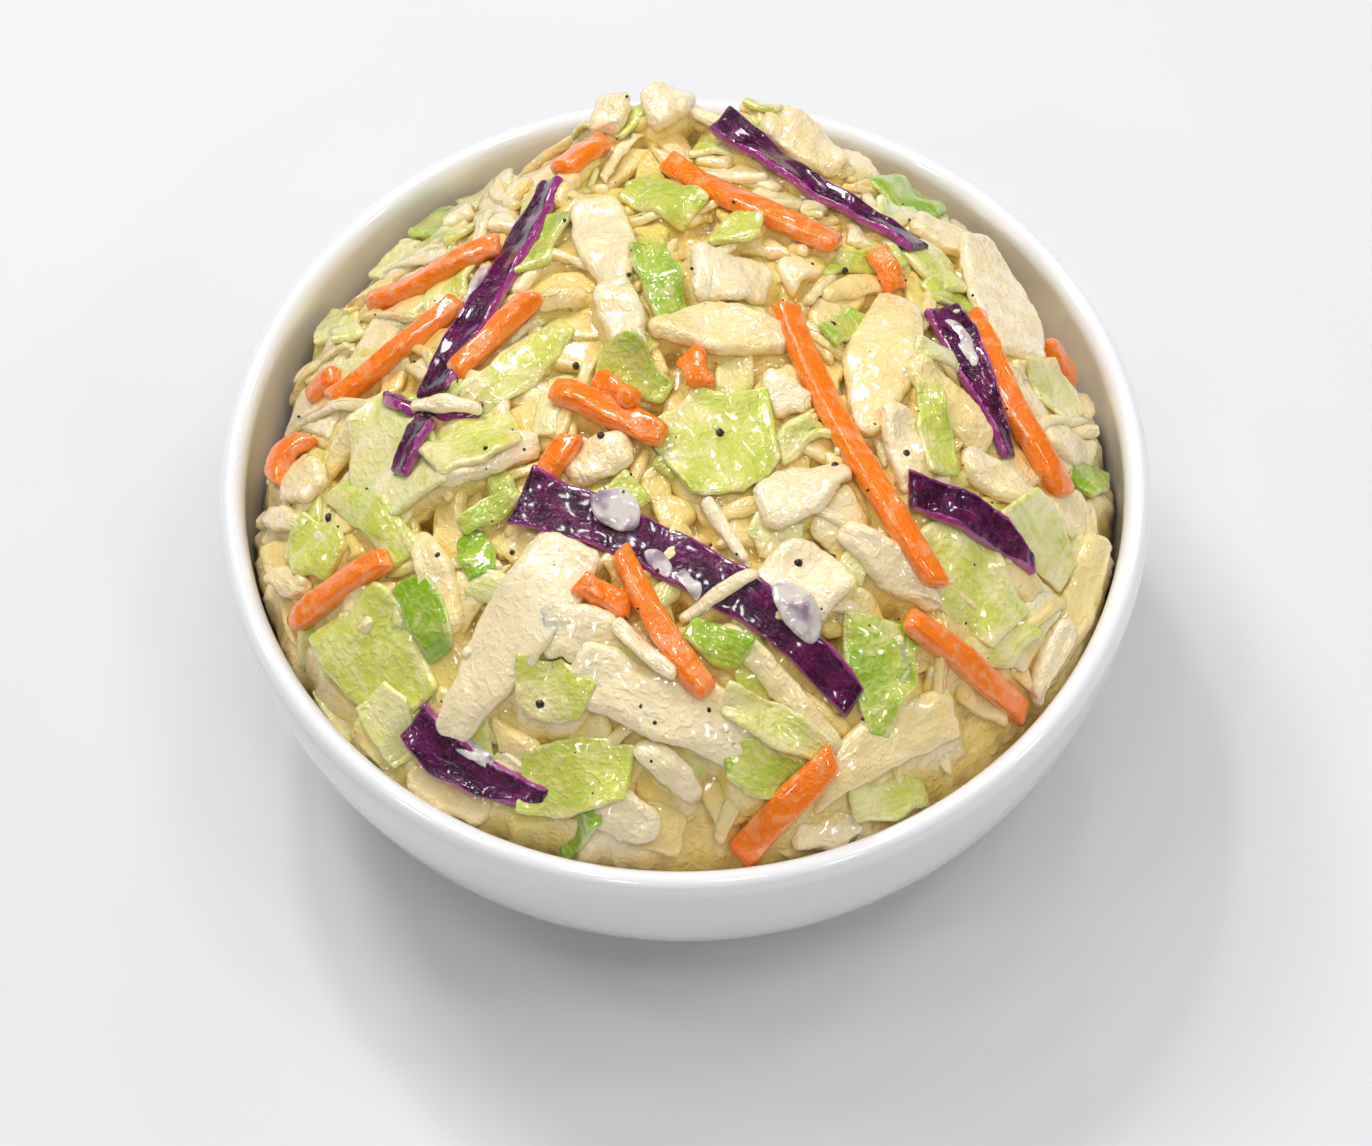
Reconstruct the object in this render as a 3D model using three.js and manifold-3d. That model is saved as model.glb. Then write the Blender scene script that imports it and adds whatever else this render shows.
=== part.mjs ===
// Coleslaw heaped in its own white glazed bowl, 150 mm across.
// The heap is a smooth core of packed slaw with the shreds and leaves that show fused on, laid one on
// another from the bowl's wall up to the crown. Origin: centre of the foot ring, on the table.

import * as THREE from 'three';
import { mergeVertices } from 'three/addons/utils/BufferGeometryUtils.js';
import Module from 'manifold-3d';

const wasm = await Module();
wasm.setup();

// Bowl, in millimetres
const OUTER_RADIUS = 75;
const BOWL_HEIGHT = 57;
const WALL = 4.3;
const LIP_HEIGHT = 3;
const FOOT_OUTER = 36.5;
const FOOT_INNER = 30;
const FOOT_RECESS = 2;
const FOOT_CHAMFER = 0.8;
const FLOOR_RADIUS = 30;
const FLOOR_Z = 7;
const OUTER_BULGE = 2.05;
const INNER_BULGE = 2.15;
const OUTER_WALL_RINGS = 9;
const INNER_WALL_RINGS = 7;
const LIP_STEPS = 4;
const BOWL_SIDES = 48;

// Core of packed slaw
const CORE_SIDES = 28;
const CORE_WALL_RINGS = 4;
const GAP = 0.35;
const CORE_APEX = 27.5;
const EDGE_BELOW_RIM = 10.5;
const EDGE_TILT = 2.5;
// Where the slaw has sunk from the wall: direction in degrees, spread in degrees, depth
const HOLLOWS = [[162, 30, 4.5], [28, 22, 4]];
// Where it is heaped against the back of the rim: place, half spread each way, height
const BACK_HEAP = { x: 4, y: 61, wide: 23, deep: 8, high: 13.5 };
const WALL_FADE = 7;
const DOME_POWER = 2.4;
const DOME_SHARPNESS = 0.8;
const DOME_RINGS = 6;
const BUMP = 1.1;

// Pieces
const PIECE_CLEARANCE = 0.9;
const SINK = 0.9;
const STEP_LENGTH = 6;
const NARROWEST = 1.4;
const STEEPEST_TILT = 1.2;
// Where a piece's weight rests, as a share of its half width
const REST_SHARE = 0.8;
const END_SLANT = 0.12;
const MOVES_INWARD = 6;

// Fillers between the pieces that are placed by hand
const FILLERS = 130;
const FILLER_REACH = 67;
const FILLER_ROOM = 3;
const FILLER_HALF_LENGTHS = [6, 10];
const FILLER_WIDTHS = [3.5, 6];
const FILLER_BOW = 1.5;
const FILLER_TURN = 0.9;
const SEED = 20;

// Every kind of piece: thickness, most steps along, steps across or sides, how stiffly it bridges a
// hollow, and how far its face waves
const FILLER = { thick: 2.6, steps: 2, across: 1, stiff: 0.6, wave: 0.3 };
const CABBAGE = { thick: 2.4, steps: 3, across: 1, stiff: 0.6, wave: 0.35 };
const LEAF = { thick: 1.8, steps: 3, across: 1, stiff: 0.45, wave: 0.6 };
const RED = { thick: 2, steps: 4, across: 1, stiff: 0.55, wave: 0.3 };
const CARROT = { thick: 3.4, steps: 2, sides: 6, stiff: 0.85 };
const SHRED = { thick: 1.8, steps: 2, across: 1, stiff: 0.8, wave: 0.2 };

// Where the pieces that show lie, each seen from above: the two ends, how far the middle bows to the
// left of the line from the first end, and the width at the first end, the middle and the other end.
const CABBAGE_LAID = [
  [-12, 55.5, -9.5, 63, 0, 5, 6, 4.5],
  [-5, 57, 3, 62, 0, 6, 9, 5],
  [14.5, 57.5, 27, 50, 0, 7, 9, 5],
  [38.5, 41, 50, 35.5, 0, 6, 7, 4],
  [48, 38, 54, 12, 1, 5, 12, 9],
  [-13.5, 50.5, -19.5, 38, -1, 2.5, 4, 2.5],
  [-13.5, 36.5, -9.5, 15, 0, 8, 9, 3.5],
  [-22.5, 13.5, -12.5, 16, 1, 2, 3.2, 2],
  [2, 18.5, 14, 17.5, 0, 9, 11, 8],
  [-11, 15, -7, 1, 0, 6, 7, 4],
  [35, 18, 28, -10, 0, 8, 13, 4],
  [-5, 7.5, 17, 6.8, 0.5, 3, 10, 4],
  [12, -3, 20, -5, 0, 8, 6, 2],
  [36, 3, 47, -8, 0, 4, 8, 5],
  [43, -10.5, 56, -16, 0, 4, 7, 3],
  [65, -14.5, 54.5, -39, 1, 4, 6, 3],
  [60, -30, 54, -42, 0, 3, 4, 2.5],
  [32.5, -5.5, 37, -19, 0, 4, 8, 8],
  [11, -24, 25, -17, 0, 7, 9, 2],
  [23.5, -26.5, 38.5, -35, 0, 3, 6, 2],
  [13, -30, 22, -38, 0, 9, 13, 9],
  [-38, -16, -22, -10, 0, 4, 6, 4],
  [-18, -16.5, -8, -13, 0, 5, 7, 5],
  [-41, -22, -36, -38, 0, 4, 6, 4],
  [-63, -1, -58, -9, 0, 5, 8, 5],
  [-68, -6, -60.5, -13, 0, 2.5, 3.5, 2.5],
  [-66, -19, -59, -24, 0, 2.5, 4, 2.5],
  [-22, -41, -9, -43, 0, 6, 8, 4],
  [-17, -27, -37, -51, 1, 10, 14, 5],
  [-44, -53, -31, -61, 0, 5, 8, 5],
  [-16, -63, -5, -66, 0, 4, 7, 4],
  [-8, -56, 1, -62, 0, 3, 4, 3],
  [-18, -46, 11, -58, 1, 8, 11, 6],
  [5, -41, 23, -56.5, 0, 3, 4.4, 2],
  [15, -66, 27, -65.5, 0, 3, 6, 3],
  [40.5, -47.5, 18, -62.5, -1, 7, 7, 3.5],
];
const LEAF_LAID = [
  [-42, 44.5, -37.5, 53.5, 0, 7, 9, 5],
  [-50, 38, -44, 45, 0, 5, 7, 4],
  [-58.5, 26.5, -56.5, 36, 0, 4, 6, 3],
  [-63, 0, -61, 6, 0, 3, 4, 2],
  [13.5, 59, 19.5, 65, 0, 7, 7, 3],
  [34, 53, 43, 46, 0, 8, 10, 7],
  [35.5, 33, 44, 23, 1, 5, 8, 5],
  [-8, 41, 3, 34, 0, 6, 9, 6],
  [-5, 24, -1, 12, 0, 6, 7, 5],
  [-34, -2.5, -17.5, 11, -1, 4, 8, 4],
  [-13, 2, -2, -3, 0, 5, 7, 4],
  [38, -1, 40, -16, 0, 4, 6, 5],
  [57.5, 12.5, 63, 6, 0, 6, 8, 5],
  [63, -6.5, 67.5, 1.5, 0, 5, 7, 3.5],
  [-50, 3, -41, -18, 0, 8, 13, 10],
  [-39.5, -12.5, -25.5, -7, 0, 9, 12, 8],
  [-62, -14, -54, -22, 0, 6, 9, 6],
  [-55, -9, -43, -26, 1, 4, 5.5, 5],
  [-42.3, -29, -37.5, -40, 0, 5, 6.5, 4],
  [-33, -23, -31, -31, 0, 5, 6, 4],
  [-34.5, -22.5, -25, -18.5, 0, 2.6, 4, 2.4],
  [-58, -36, -51, -46, 0, 4, 6, 4],
  [-54, -29.5, -42, -46.5, 0, 10, 14, 9],
  [-49, -43, -44, -53, 0, 5, 7, 5],
  [-26, -47, -15, -51, 0, 5, 8, 5],
  [-20, -65, -13, -64, 0, 3, 5, 4],
  [-26, -58, -9, -60, 0, 9, 11, 8],
  [-3, -16, 14, -9, 0, 12, 18, 11],
  [36.5, -24, 50, -35, 0, 12, 15, 9],
  [52, -17, 60, -23, 0, 8, 10, 6],
  [0, -41, 9, -46, 0, 4, 6, 4],
  [5, -52, 21, -57, 0, 4, 7, 3],
  [5, -59, 18, -60, 0, 5, 8, 4],
  [30, -38, 28.5, -54, 0, 12, 10, 3],
  [24, -62, 36, -57, 0, 5, 7, 4],
];
const CARROT_LAID = [
  [-1.6, 48, 25.4, 26.6, -2.4, 4, 4.4, 4],
  [-11.5, 54, -19.5, 45.5, 0.3, 3.8, 4, 3.8],
  [-51, 29.2, -28.6, 31.2, -2.2, 3.4, 3.6, 3.4],
  [-56.4, 8.4, -35.2, 20.6, -1.8, 3.5, 3.6, 3.4],
  [-60.5, 13.6, -55, 14, 0, 3.4, 3.6, 3.6],
  [-35.5, 3, -22.5, 14.5, 0.5, 3.2, 3.6, 3.2],
  [-20, -2.6, -2.8, -13.2, 0.2, 4, 4.4, 4],
  [-13, -1, -7, -8, 0, 2.5, 2.8, 2.5],
  [-17, -11, -21.5, -17.5, 0, 3.8, 4, 3.4],
  [1, 3, 3, -4, 0, 4, 4, 4],
  [16.3, 13, 38.3, -33.5, -2.4, 3.5, 4.2, 4],
  [31.4, 27.2, 34.3, 20.5, 0, 3.8, 4, 3.8],
  [46.7, 18.5, 60, -10.5, -2.6, 3.8, 4, 3.8],
  [59, 19.5, 64, 17, 0, 3.4, 3.6, 3.4],
  [-63.2, -27, -46, -28, 0.4, 3.8, 4.2, 3.8],
  [-64, -8, -60, 2, -1.5, 3.2, 3.8, 3.2],
  [-16.4, -35, -8.4, -38.2, 0, 3.8, 4, 3.8],
  [-10, -29.5, 2.8, -51.5, -1.2, 3.8, 4.2, 3.6],
  [31.5, -37, 54, -45.6, -0.8, 3.8, 4.2, 4],
  [21.6, -57.5, 6.8, -68.3, 0.8, 3.4, 4.2, 4.6],
];
const RED_LAID = [
  [7, 55.4, 38.8, 30, -0.6, 6.6, 3.8, 4],
  [-20.2, 44.2, -38.9, 0.8, 0.8, 3.5, 5.4, 5.6],
  [-39.6, -4, -43.9, -12.8, 0, 3.8, 3.8, 2.8],
  [-46.8, 3, -31, -3.4, -2.2, 2, 2.6, 1.6],
  [41.3, 17.2, 51, -8, 0, 6, 5.6, 2],
  [34.4, -21.6, 54.2, -23.8, 2, 4.5, 6.5, 4],
  [-42.4, -48, -22, -62.3, -2.6, 6, 6.2, 2.5],
  [-25, -20.2, 25, -50, 3, 8.2, 7.5, 5],
];
const SHRED_LAID = [
  [-42, -2, -31, -4, 0, 2.4, 2.6, 1.6],
  [11, -34, -1, -39.8, 0, 2, 2.6, 1.6],
  [3, -22, 9, -32, 0, 2, 2.2, 1.6],
  [-11, -41, -2, -50, 0, 2.4, 3, 1.6],
];

// A repeatable source of unevenness, 0 to 1
let seed = SEED;
function random() {
  seed = (seed + 0x6d2b79f5) | 0;
  let mixed = Math.imul(seed ^ (seed >>> 15), 1 | seed);
  mixed = (mixed + Math.imul(mixed ^ (mixed >>> 7), 61 | mixed)) ^ mixed;
  return ((mixed ^ (mixed >>> 14)) >>> 0) / 4294967296;
}
function between(low, high) {
  return low + (high - low) * random();
}

// Turns a geometry into a closed solid: shared corners merged, triangles without area dropped.
function solidOf(geometry) {
  geometry.deleteAttribute('normal');
  geometry.deleteAttribute('uv');
  const merged = mergeVertices(geometry, 1e-4);
  const corners = merged.index.array;
  const faces = [];
  for (let k = 0; k < corners.length; k += 3) {
    const [a, b, c] = [corners[k], corners[k + 1], corners[k + 2]];
    if (a !== b && b !== c && c !== a) {
      faces.push(a, b, c);
    }
  }
  return new wasm.Manifold(new wasm.Mesh({
    numProp: 3,
    vertProperties: new Float32Array(merged.attributes.position.array),
    triVerts: new Uint32Array(faces),
  }));
}

// Gives a joined solid back as a geometry.
function geometryOf(solid) {
  const mesh = solid.getMesh();
  const geometry = new THREE.BufferGeometry();
  geometry.setAttribute('position', new THREE.Float32BufferAttribute(mesh.vertProperties, 3));
  geometry.setIndex(Array.from(mesh.triVerts));
  geometry.computeVertexNormals();
  return geometry;
}

// The wall's outer and inner curve, from the lip down to the foot or floor
const LIP_Z = BOWL_HEIGHT - LIP_HEIGHT;
const INNER_RADIUS = OUTER_RADIUS - WALL;
function outerRadiusAt(z) {
  const depth = (LIP_Z - z) / (LIP_Z - FOOT_RECESS);
  const swell = Math.pow(1 - Math.pow(depth, OUTER_BULGE), 1 / OUTER_BULGE);
  return FOOT_OUTER + (OUTER_RADIUS - FOOT_OUTER) * swell;
}
function innerRadiusAt(z) {
  const depth = (LIP_Z - z) / (LIP_Z - FLOOR_Z);
  const swell = Math.pow(1 - Math.pow(depth, INNER_BULGE), 1 / INNER_BULGE);
  return FLOOR_RADIUS + (INNER_RADIUS - FLOOR_RADIUS) * swell;
}
// Heights of the wall's rings: close together near the floor, where the wall turns fastest
function ringHeights(low, high, rings) {
  const levels = [];
  for (let k = 0; k <= rings; k += 1) {
    levels.push(low + (high - low) * (1 - Math.cos((k / rings) * Math.PI / 2)));
  }
  return levels;
}
// Radius inside the bowl's flat facets, which lie a little within its true curve
const INNER_RINGS = ringHeights(FLOOR_Z, LIP_Z, INNER_WALL_RINGS);
function clearRadiusAt(z) {
  const height = THREE.MathUtils.clamp(z, FLOOR_Z, LIP_Z);
  let k = 0;
  while (k < INNER_WALL_RINGS - 1 && INNER_RINGS[k + 1] < height) {
    k += 1;
  }
  const [below, above] = [INNER_RINGS[k], INNER_RINGS[k + 1]];
  const share = (height - below) / (above - below);
  const radius = THREE.MathUtils.lerp(innerRadiusAt(below), innerRadiusAt(above), share);
  return radius * Math.cos(Math.PI / BOWL_SIDES);
}

function makeBowl() {
  const profile = [
    new THREE.Vector2(0, FOOT_RECESS),
    new THREE.Vector2(FOOT_INNER - FOOT_CHAMFER, FOOT_RECESS),
    new THREE.Vector2(FOOT_INNER, 0),
    new THREE.Vector2(FOOT_OUTER - FOOT_CHAMFER, 0),
    new THREE.Vector2(FOOT_OUTER, FOOT_CHAMFER),
  ];
  for (const z of ringHeights(FOOT_RECESS, LIP_Z, OUTER_WALL_RINGS)) {
    profile.push(new THREE.Vector2(outerRadiusAt(z), z));
  }
  const crest = OUTER_RADIUS - WALL / 2;
  for (let k = 1; k < 2 * LIP_STEPS; k += 1) {
    const turn = (k / (2 * LIP_STEPS)) * Math.PI;
    const r = crest + (WALL / 2) * Math.cos(turn);
    profile.push(new THREE.Vector2(r, LIP_Z + LIP_HEIGHT * Math.sin(turn)));
  }
  for (let k = INNER_WALL_RINGS; k >= 0; k -= 1) {
    profile.push(new THREE.Vector2(innerRadiusAt(INNER_RINGS[k]), INNER_RINGS[k]));
  }
  profile.push(new THREE.Vector2(0, FLOOR_Z));
  const geometry = new THREE.LatheGeometry(profile, BOWL_SIDES);
  geometry.rotateX(Math.PI / 2);
  return solidOf(geometry);
}

// Top of the bare core at a place seen from above
const CORE_RADIUS = INNER_RADIUS - 2;
function edgeHeight(x, y) {
  const direction = Math.atan2(y, x);
  let height = BOWL_HEIGHT - EDGE_BELOW_RIM - EDGE_TILT * Math.sin(direction);
  for (const [degrees, spread, depth] of HOLLOWS) {
    const turn = direction - THREE.MathUtils.degToRad(degrees);
    const away = Math.atan2(Math.sin(turn), Math.cos(turn)) / THREE.MathUtils.degToRad(spread);
    height -= depth * Math.exp(-away * away);
  }
  return height;
}
function coreTop(x, y) {
  const radius = Math.hypot(x, y);
  const out = Math.min(radius / CORE_RADIUS, 1);
  const dome = Math.pow(1 - Math.pow(out, DOME_POWER), DOME_SHARPNESS);
  const bumps = Math.sin(0.21 * x + 0.6) * Math.sin(0.24 * y - 0.9) + 0.6 * Math.sin(0.37 * (x - y));
  const edge = edgeHeight(x, y);
  const [side, back] = [(x - BACK_HEAP.x) / BACK_HEAP.wide, (y - BACK_HEAP.y) / BACK_HEAP.deep];
  const heaped = BACK_HEAP.high * Math.exp(-Math.pow(side, 4) - back * back);
  const fade = THREE.MathUtils.smoothstep(CORE_RADIUS - radius, 0, WALL_FADE);
  return edge + (BOWL_HEIGHT + CORE_APEX - edge) * dome + BUMP * bumps * dome + heaped * fade;
}

function makeCore() {
  // The lathe's profile only numbers the rings: floor, wall up to the slaw's edge, then the dome.
  const lowestEdge = BOWL_HEIGHT - EDGE_BELOW_RIM - HOLLOWS[0][2] - 1;
  const wall = ringHeights(FLOOR_Z, lowestEdge, CORE_WALL_RINGS).slice(0, -1);
  const wallRings = wall.length;
  const rings = wallRings + 1 + DOME_RINGS;
  const profile = [new THREE.Vector2(0, 0)];
  for (let k = 1; k <= rings; k += 1) {
    profile.push(new THREE.Vector2(1, k));
  }
  profile.push(new THREE.Vector2(0, rings + 1));
  const geometry = new THREE.LatheGeometry(profile, CORE_SIDES);
  geometry.rotateX(Math.PI / 2);
  const place = geometry.attributes.position;
  for (let k = 0; k < place.count; k += 1) {
    const ring = Math.round(place.getZ(k));
    const [cos, sin] = [place.getX(k), place.getY(k)];
    let r = 0;
    let z = FLOOR_Z + GAP;
    if (ring > rings) {
      z = coreTop(0, 0);
    } else if (ring > wallRings + 1) {
      const inward = (ring - wallRings - 1) / (DOME_RINGS + 1);
      r = CORE_RADIUS * Math.cos(inward * Math.PI / 2);
      z = coreTop(r * cos, r * sin);
    } else if (ring === wallRings + 1) {
      z = edgeHeight(cos, sin);
      r = clearRadiusAt(z) - GAP;
    } else if (ring > 0) {
      z = Math.max(wall[ring - 1], FLOOR_Z + GAP);
      r = clearRadiusAt(wall[ring - 1]) - GAP;
    }
    place.setXYZ(k, r * cos, r * sin, z);
  }
  return solidOf(geometry);
}

// The heap's top while it is laid: heights on a plan grid of 1 mm, raised by every piece
const GRID_CELL = 1;
const GRID_HALF = 76;
const GRID_WIDE = 2 * GRID_HALF + 1;
const heights = new Float32Array(GRID_WIDE * GRID_WIDE);
for (let row = 0; row < GRID_WIDE; row += 1) {
  for (let column = 0; column < GRID_WIDE; column += 1) {
    heights[row * GRID_WIDE + column] = coreTop(column - GRID_HALF, row - GRID_HALF);
  }
}
function cellAt(x, y) {
  const column = THREE.MathUtils.clamp(Math.round(x) + GRID_HALF, 0, GRID_WIDE - 1);
  const row = THREE.MathUtils.clamp(Math.round(y) + GRID_HALF, 0, GRID_WIDE - 1);
  return row * GRID_WIDE + column;
}

// How one piece lies: its middle line in plan, its height on what is under it, and its tilt. It is read
// at u from 0 to 1 along the piece and v from -1 to 1 across it.
const NEAR = 0.1;
function layOn(row, kind) {
  const [x0, y0, x1, y1, bow, w0, w1, w2] = row;
  const length = Math.hypot(x1 - x0, y1 - y0);
  const along = [(x1 - x0) / length, (y1 - y0) / length];
  const left = [-along[1], along[0]];
  const middle = (u) => [
    x0 + (x1 - x0) * u + left[0] * bow * 4 * u * (1 - u),
    y0 + (y1 - y0) * u + left[1] * bow * 4 * u * (1 - u),
  ];
  const halfWidth = (u) => {
    const width = (1 - u) * (1 - 2 * u) * w0 + 4 * u * (1 - u) * w1 + u * (2 * u - 1) * w2;
    return Math.max(width, NARROWEST) / 2;
  };
  const steps = THREE.MathUtils.clamp(Math.round(length / STEP_LENGTH), 1, kind.steps);
  const rests = [];
  const tilts = [];
  for (let k = 0; k <= steps; k += 1) {
    const u = k / steps;
    const [x, y] = middle(u);
    const reach = Math.max(REST_SHARE * halfWidth(u), GRID_CELL);
    const high = heights[cellAt(x + left[0] * reach, y + left[1] * reach)];
    const low = heights[cellAt(x - left[0] * reach, y - left[1] * reach)];
    rests.push(Math.max(heights[cellAt(x, y)], (high + low) / 2));
    tilts.push(THREE.MathUtils.clamp((high - low) / (2 * reach), -STEEPEST_TILT, STEEPEST_TILT));
  }
  const bridged = rests.map((rest, k) => {
    let height = rest;
    for (let a = 0; a < k; a += 1) {
      for (let b = k + 1; b <= steps; b += 1) {
        const share = (k - a) / (b - a);
        height = Math.max(height, rests[a] * (1 - share) + rests[b] * share);
      }
    }
    return rest + (height - rest) * kind.stiff;
  });
  const reading = (values, u) => {
    const place = THREE.MathUtils.clamp(u, 0, 1) * steps;
    const k = Math.min(Math.floor(place), steps - 1);
    return values[k] + (values[k + 1] - values[k]) * (place - k);
  };
  const lift = kind.thick / 2 - SINK;
  const point = (u, v, wave) => {
    const [x, y] = middle(u);
    const half = halfWidth(u) * v;
    const z = reading(bridged, u) + lift + reading(tilts, u) * half + wave;
    return new THREE.Vector3(x + left[0] * half, y + left[1] * half, z);
  };
  const normal = (u, v) => {
    const [behind, ahead] = [Math.max(u - NEAR, 0), Math.min(u + NEAR, 1)];
    const forward = point(ahead, v, 0).sub(point(behind, v, 0));
    const sideways = new THREE.Vector3(left[0], left[1], reading(tilts, u));
    return forward.cross(sideways).normalize();
  };
  return { point, normal, length, along: new THREE.Vector3(along[0], along[1], 0), steps, halfWidth };
}

// A flat piece: the same grid of triangles on both faces, joined round the rim
function makeSlab(lay, kind) {
  const face = new THREE.PlaneGeometry(1, 2, lay.steps, kind.across);
  const place = face.attributes.position;
  const phase = between(0, 2 * Math.PI);
  const slant = between(-END_SLANT, END_SLANT) * lay.length;
  const corners = [];
  for (const side of [1, -1]) {
    for (let k = 0; k < place.count; k += 1) {
      const v = place.getY(k);
      const u = place.getX(k) + 0.5;
      const wave = kind.wave * Math.sin(phase + 5 * u + 2.5 * v) * (1 - 0.4 * v * v);
      const corner = lay.point(u, v, wave);
      corner.addScaledVector(lay.along, slant * v * Math.abs(2 * u - 1));
      corner.addScaledVector(lay.normal(u, v), (side * kind.thick) / 2);
      corners.push(corner.x, corner.y, corner.z);
    }
  }
  const top = Array.from(face.index.array);
  const count = place.count;
  const faces = [...top];
  for (let k = 0; k < top.length; k += 3) {
    faces.push(top[k] + count, top[k + 2] + count, top[k + 1] + count);
  }
  const wide = lay.steps + 1;
  const rim = [];
  for (let k = 0; k < lay.steps; k += 1) {
    rim.push(k);
  }
  for (let k = 0; k < kind.across; k += 1) {
    rim.push(lay.steps + k * wide);
  }
  for (let k = lay.steps; k > 0; k -= 1) {
    rim.push(kind.across * wide + k);
  }
  for (let k = kind.across; k > 0; k -= 1) {
    rim.push(k * wide);
  }
  rim.forEach((from, k) => {
    const to = rim[(k + 1) % rim.length];
    faces.push(from, to, to + count, from, to + count, from + count);
  });
  const slab = new THREE.BufferGeometry();
  slab.setAttribute('position', new THREE.Float32BufferAttribute(corners, 3));
  slab.setIndex(faces);
  return slab;
}

// A carrot stick: a flattened six-sided rod that follows its middle line
function makeStick(lay, kind) {
  const stick = new THREE.CylinderGeometry(1, 1, 1, kind.sides, lay.steps);
  const place = stick.attributes.position;
  for (let k = 0; k < place.count; k += 1) {
    const u = place.getY(k) + 0.5;
    const across = place.getZ(k);
    const up = place.getX(k);
    const corner = lay.point(u, across, 0);
    corner.addScaledVector(lay.normal(u, 0), (up * kind.thick) / 2);
    place.setXYZ(k, corner.x, corner.y, corner.z);
  }
  return stick;
}

// How far a piece would reach into the bowl's wall or over its lip
const RIM_ROOM = 2;
function crossing(geometry) {
  const place = geometry.attributes.position;
  let worst = -Infinity;
  for (let k = 0; k < place.count; k += 1) {
    const z = place.getZ(k);
    if (z < BOWL_HEIGHT + RIM_ROOM) {
      const r = Math.hypot(place.getX(k), place.getY(k));
      worst = Math.max(worst, r - clearRadiusAt(z) + PIECE_CLEARANCE);
    }
  }
  return worst;
}

// Raises the heap's top under a piece that is laid, read closely enough to reach every cell
const READ_EVERY = 0.7;
function raise(lay, kind) {
  const stepsAlong = Math.ceil(lay.length / READ_EVERY);
  for (let a = 0; a <= stepsAlong; a += 1) {
    const u = a / stepsAlong;
    const stepsAcross = Math.ceil((2 * lay.halfWidth(u)) / READ_EVERY);
    for (let b = 0; b <= stepsAcross; b += 1) {
      const spot = lay.point(u, (2 * b) / stepsAcross - 1, 0);
      const cell = cellAt(spot.x, spot.y);
      heights[cell] = Math.max(heights[cell], spot.z + kind.thick / 2);
    }
  }
}

// Lays one piece on the heap. A piece that meets the wall is moved in, and skipped if that fails.
const MOVE_SPARE = 0.1;
function layPiece(row, kind) {
  let placed = row;
  for (let attempt = 0; attempt < MOVES_INWARD; attempt += 1) {
    const lay = layOn(placed, kind);
    const geometry = kind.sides ? makeStick(lay, kind) : makeSlab(lay, kind);
    const over = crossing(geometry);
    if (over <= 0) {
      raise(lay, kind);
      return solidOf(geometry);
    }
    const [x0, y0, x1, y1, ...rest] = placed;
    const away = Math.hypot(x0 + x1, y0 + y1) / 2;
    const inward = (over + MOVE_SPARE) / away;
    const [moveX, moveY] = [((x0 + x1) / 2) * inward, ((y0 + y1) / 2) * inward];
    placed = [x0 - moveX, y0 - moveY, x1 - moveX, y1 - moveY, ...rest];
  }
  return null;
}

// Fillers between the pieces that are placed by hand: spread like seeds in a sunflower head, and left
// out where a placed piece already lies.
const GOLDEN_TURN = Math.PI * (3 - Math.sqrt(5));
function isCovered(x, y, rows) {
  return rows.some(([x0, y0, x1, y1, , , wide]) => {
    const [dx, dy] = [x1 - x0, y1 - y0];
    const share = THREE.MathUtils.clamp(((x - x0) * dx + (y - y0) * dy) / (dx * dx + dy * dy), 0, 1);
    return Math.hypot(x - x0 - share * dx, y - y0 - share * dy) < wide / 2 + FILLER_ROOM;
  });
}
function fillerRows(placed) {
  const rows = [];
  for (let k = 0; k < FILLERS; k += 1) {
    const out = FILLER_REACH * Math.sqrt((k + 0.5) / FILLERS);
    const turn = k * GOLDEN_TURN;
    const heading = turn + Math.PI / 2 + between(-FILLER_TURN, FILLER_TURN);
    const half = between(...FILLER_HALF_LENGTHS);
    const [x, y] = [out * Math.cos(turn), out * Math.sin(turn)];
    if (isCovered(x, y, placed)) {
      continue;
    }
    const [dx, dy] = [half * Math.cos(heading), half * Math.sin(heading)];
    const wide = between(...FILLER_WIDTHS);
    const bow = between(-FILLER_BOW, FILLER_BOW);
    rows.push([x - dx, y - dy, x + dx, y + dy, bow, wide * 0.7, wide, wide * 0.6]);
  }
  return rows;
}

function makeHeap() {
  const placed = [...CABBAGE_LAID, ...LEAF_LAID, ...CARROT_LAID, ...RED_LAID];
  const laid = [
    [fillerRows(placed), FILLER],
    [CABBAGE_LAID, CABBAGE],
    [LEAF_LAID, LEAF],
    [CARROT_LAID, CARROT],
    [RED_LAID, RED],
    [SHRED_LAID, SHRED],
  ];
  let heap = makeCore();
  for (const [rows, kind] of laid) {
    for (const row of rows) {
      const piece = layPiece(row, kind);
      if (piece) {
        heap = heap.add(piece);
      }
    }
  }
  // Only the outer shell is kept, so sealed hollows are filled and loose scraps dropped.
  const shells = heap.decompose();
  return shells.reduce((largest, shell) => (shell.volume() > largest.volume() ? shell : largest));
}

const glaze = new THREE.MeshStandardMaterial({ color: 0xf2f2f4, roughness: 0.12, metalness: 0 });
const slaw = new THREE.MeshStandardMaterial({ color: 0xe9dfb4, roughness: 0.35, metalness: 0 });

const bowl = new THREE.Mesh(geometryOf(makeBowl()), glaze);
bowl.name = 'bowl';
const coleslaw = new THREE.Mesh(geometryOf(makeHeap()), slaw);
coleslaw.name = 'coleslaw';

const part = new THREE.Group();
part.add(bowl, coleslaw);
export default part;
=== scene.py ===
# Coleslaw heaped in its own white glazed bowl: cabbage, leaf, carrot and red cabbage in a thin creamy
# dressing with coarse pepper. Metres, +Z up, the foot ring's centre at the origin.
import math

import bmesh
import bpy
import numpy as np
from mathutils import Matrix, Vector, noise


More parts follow.
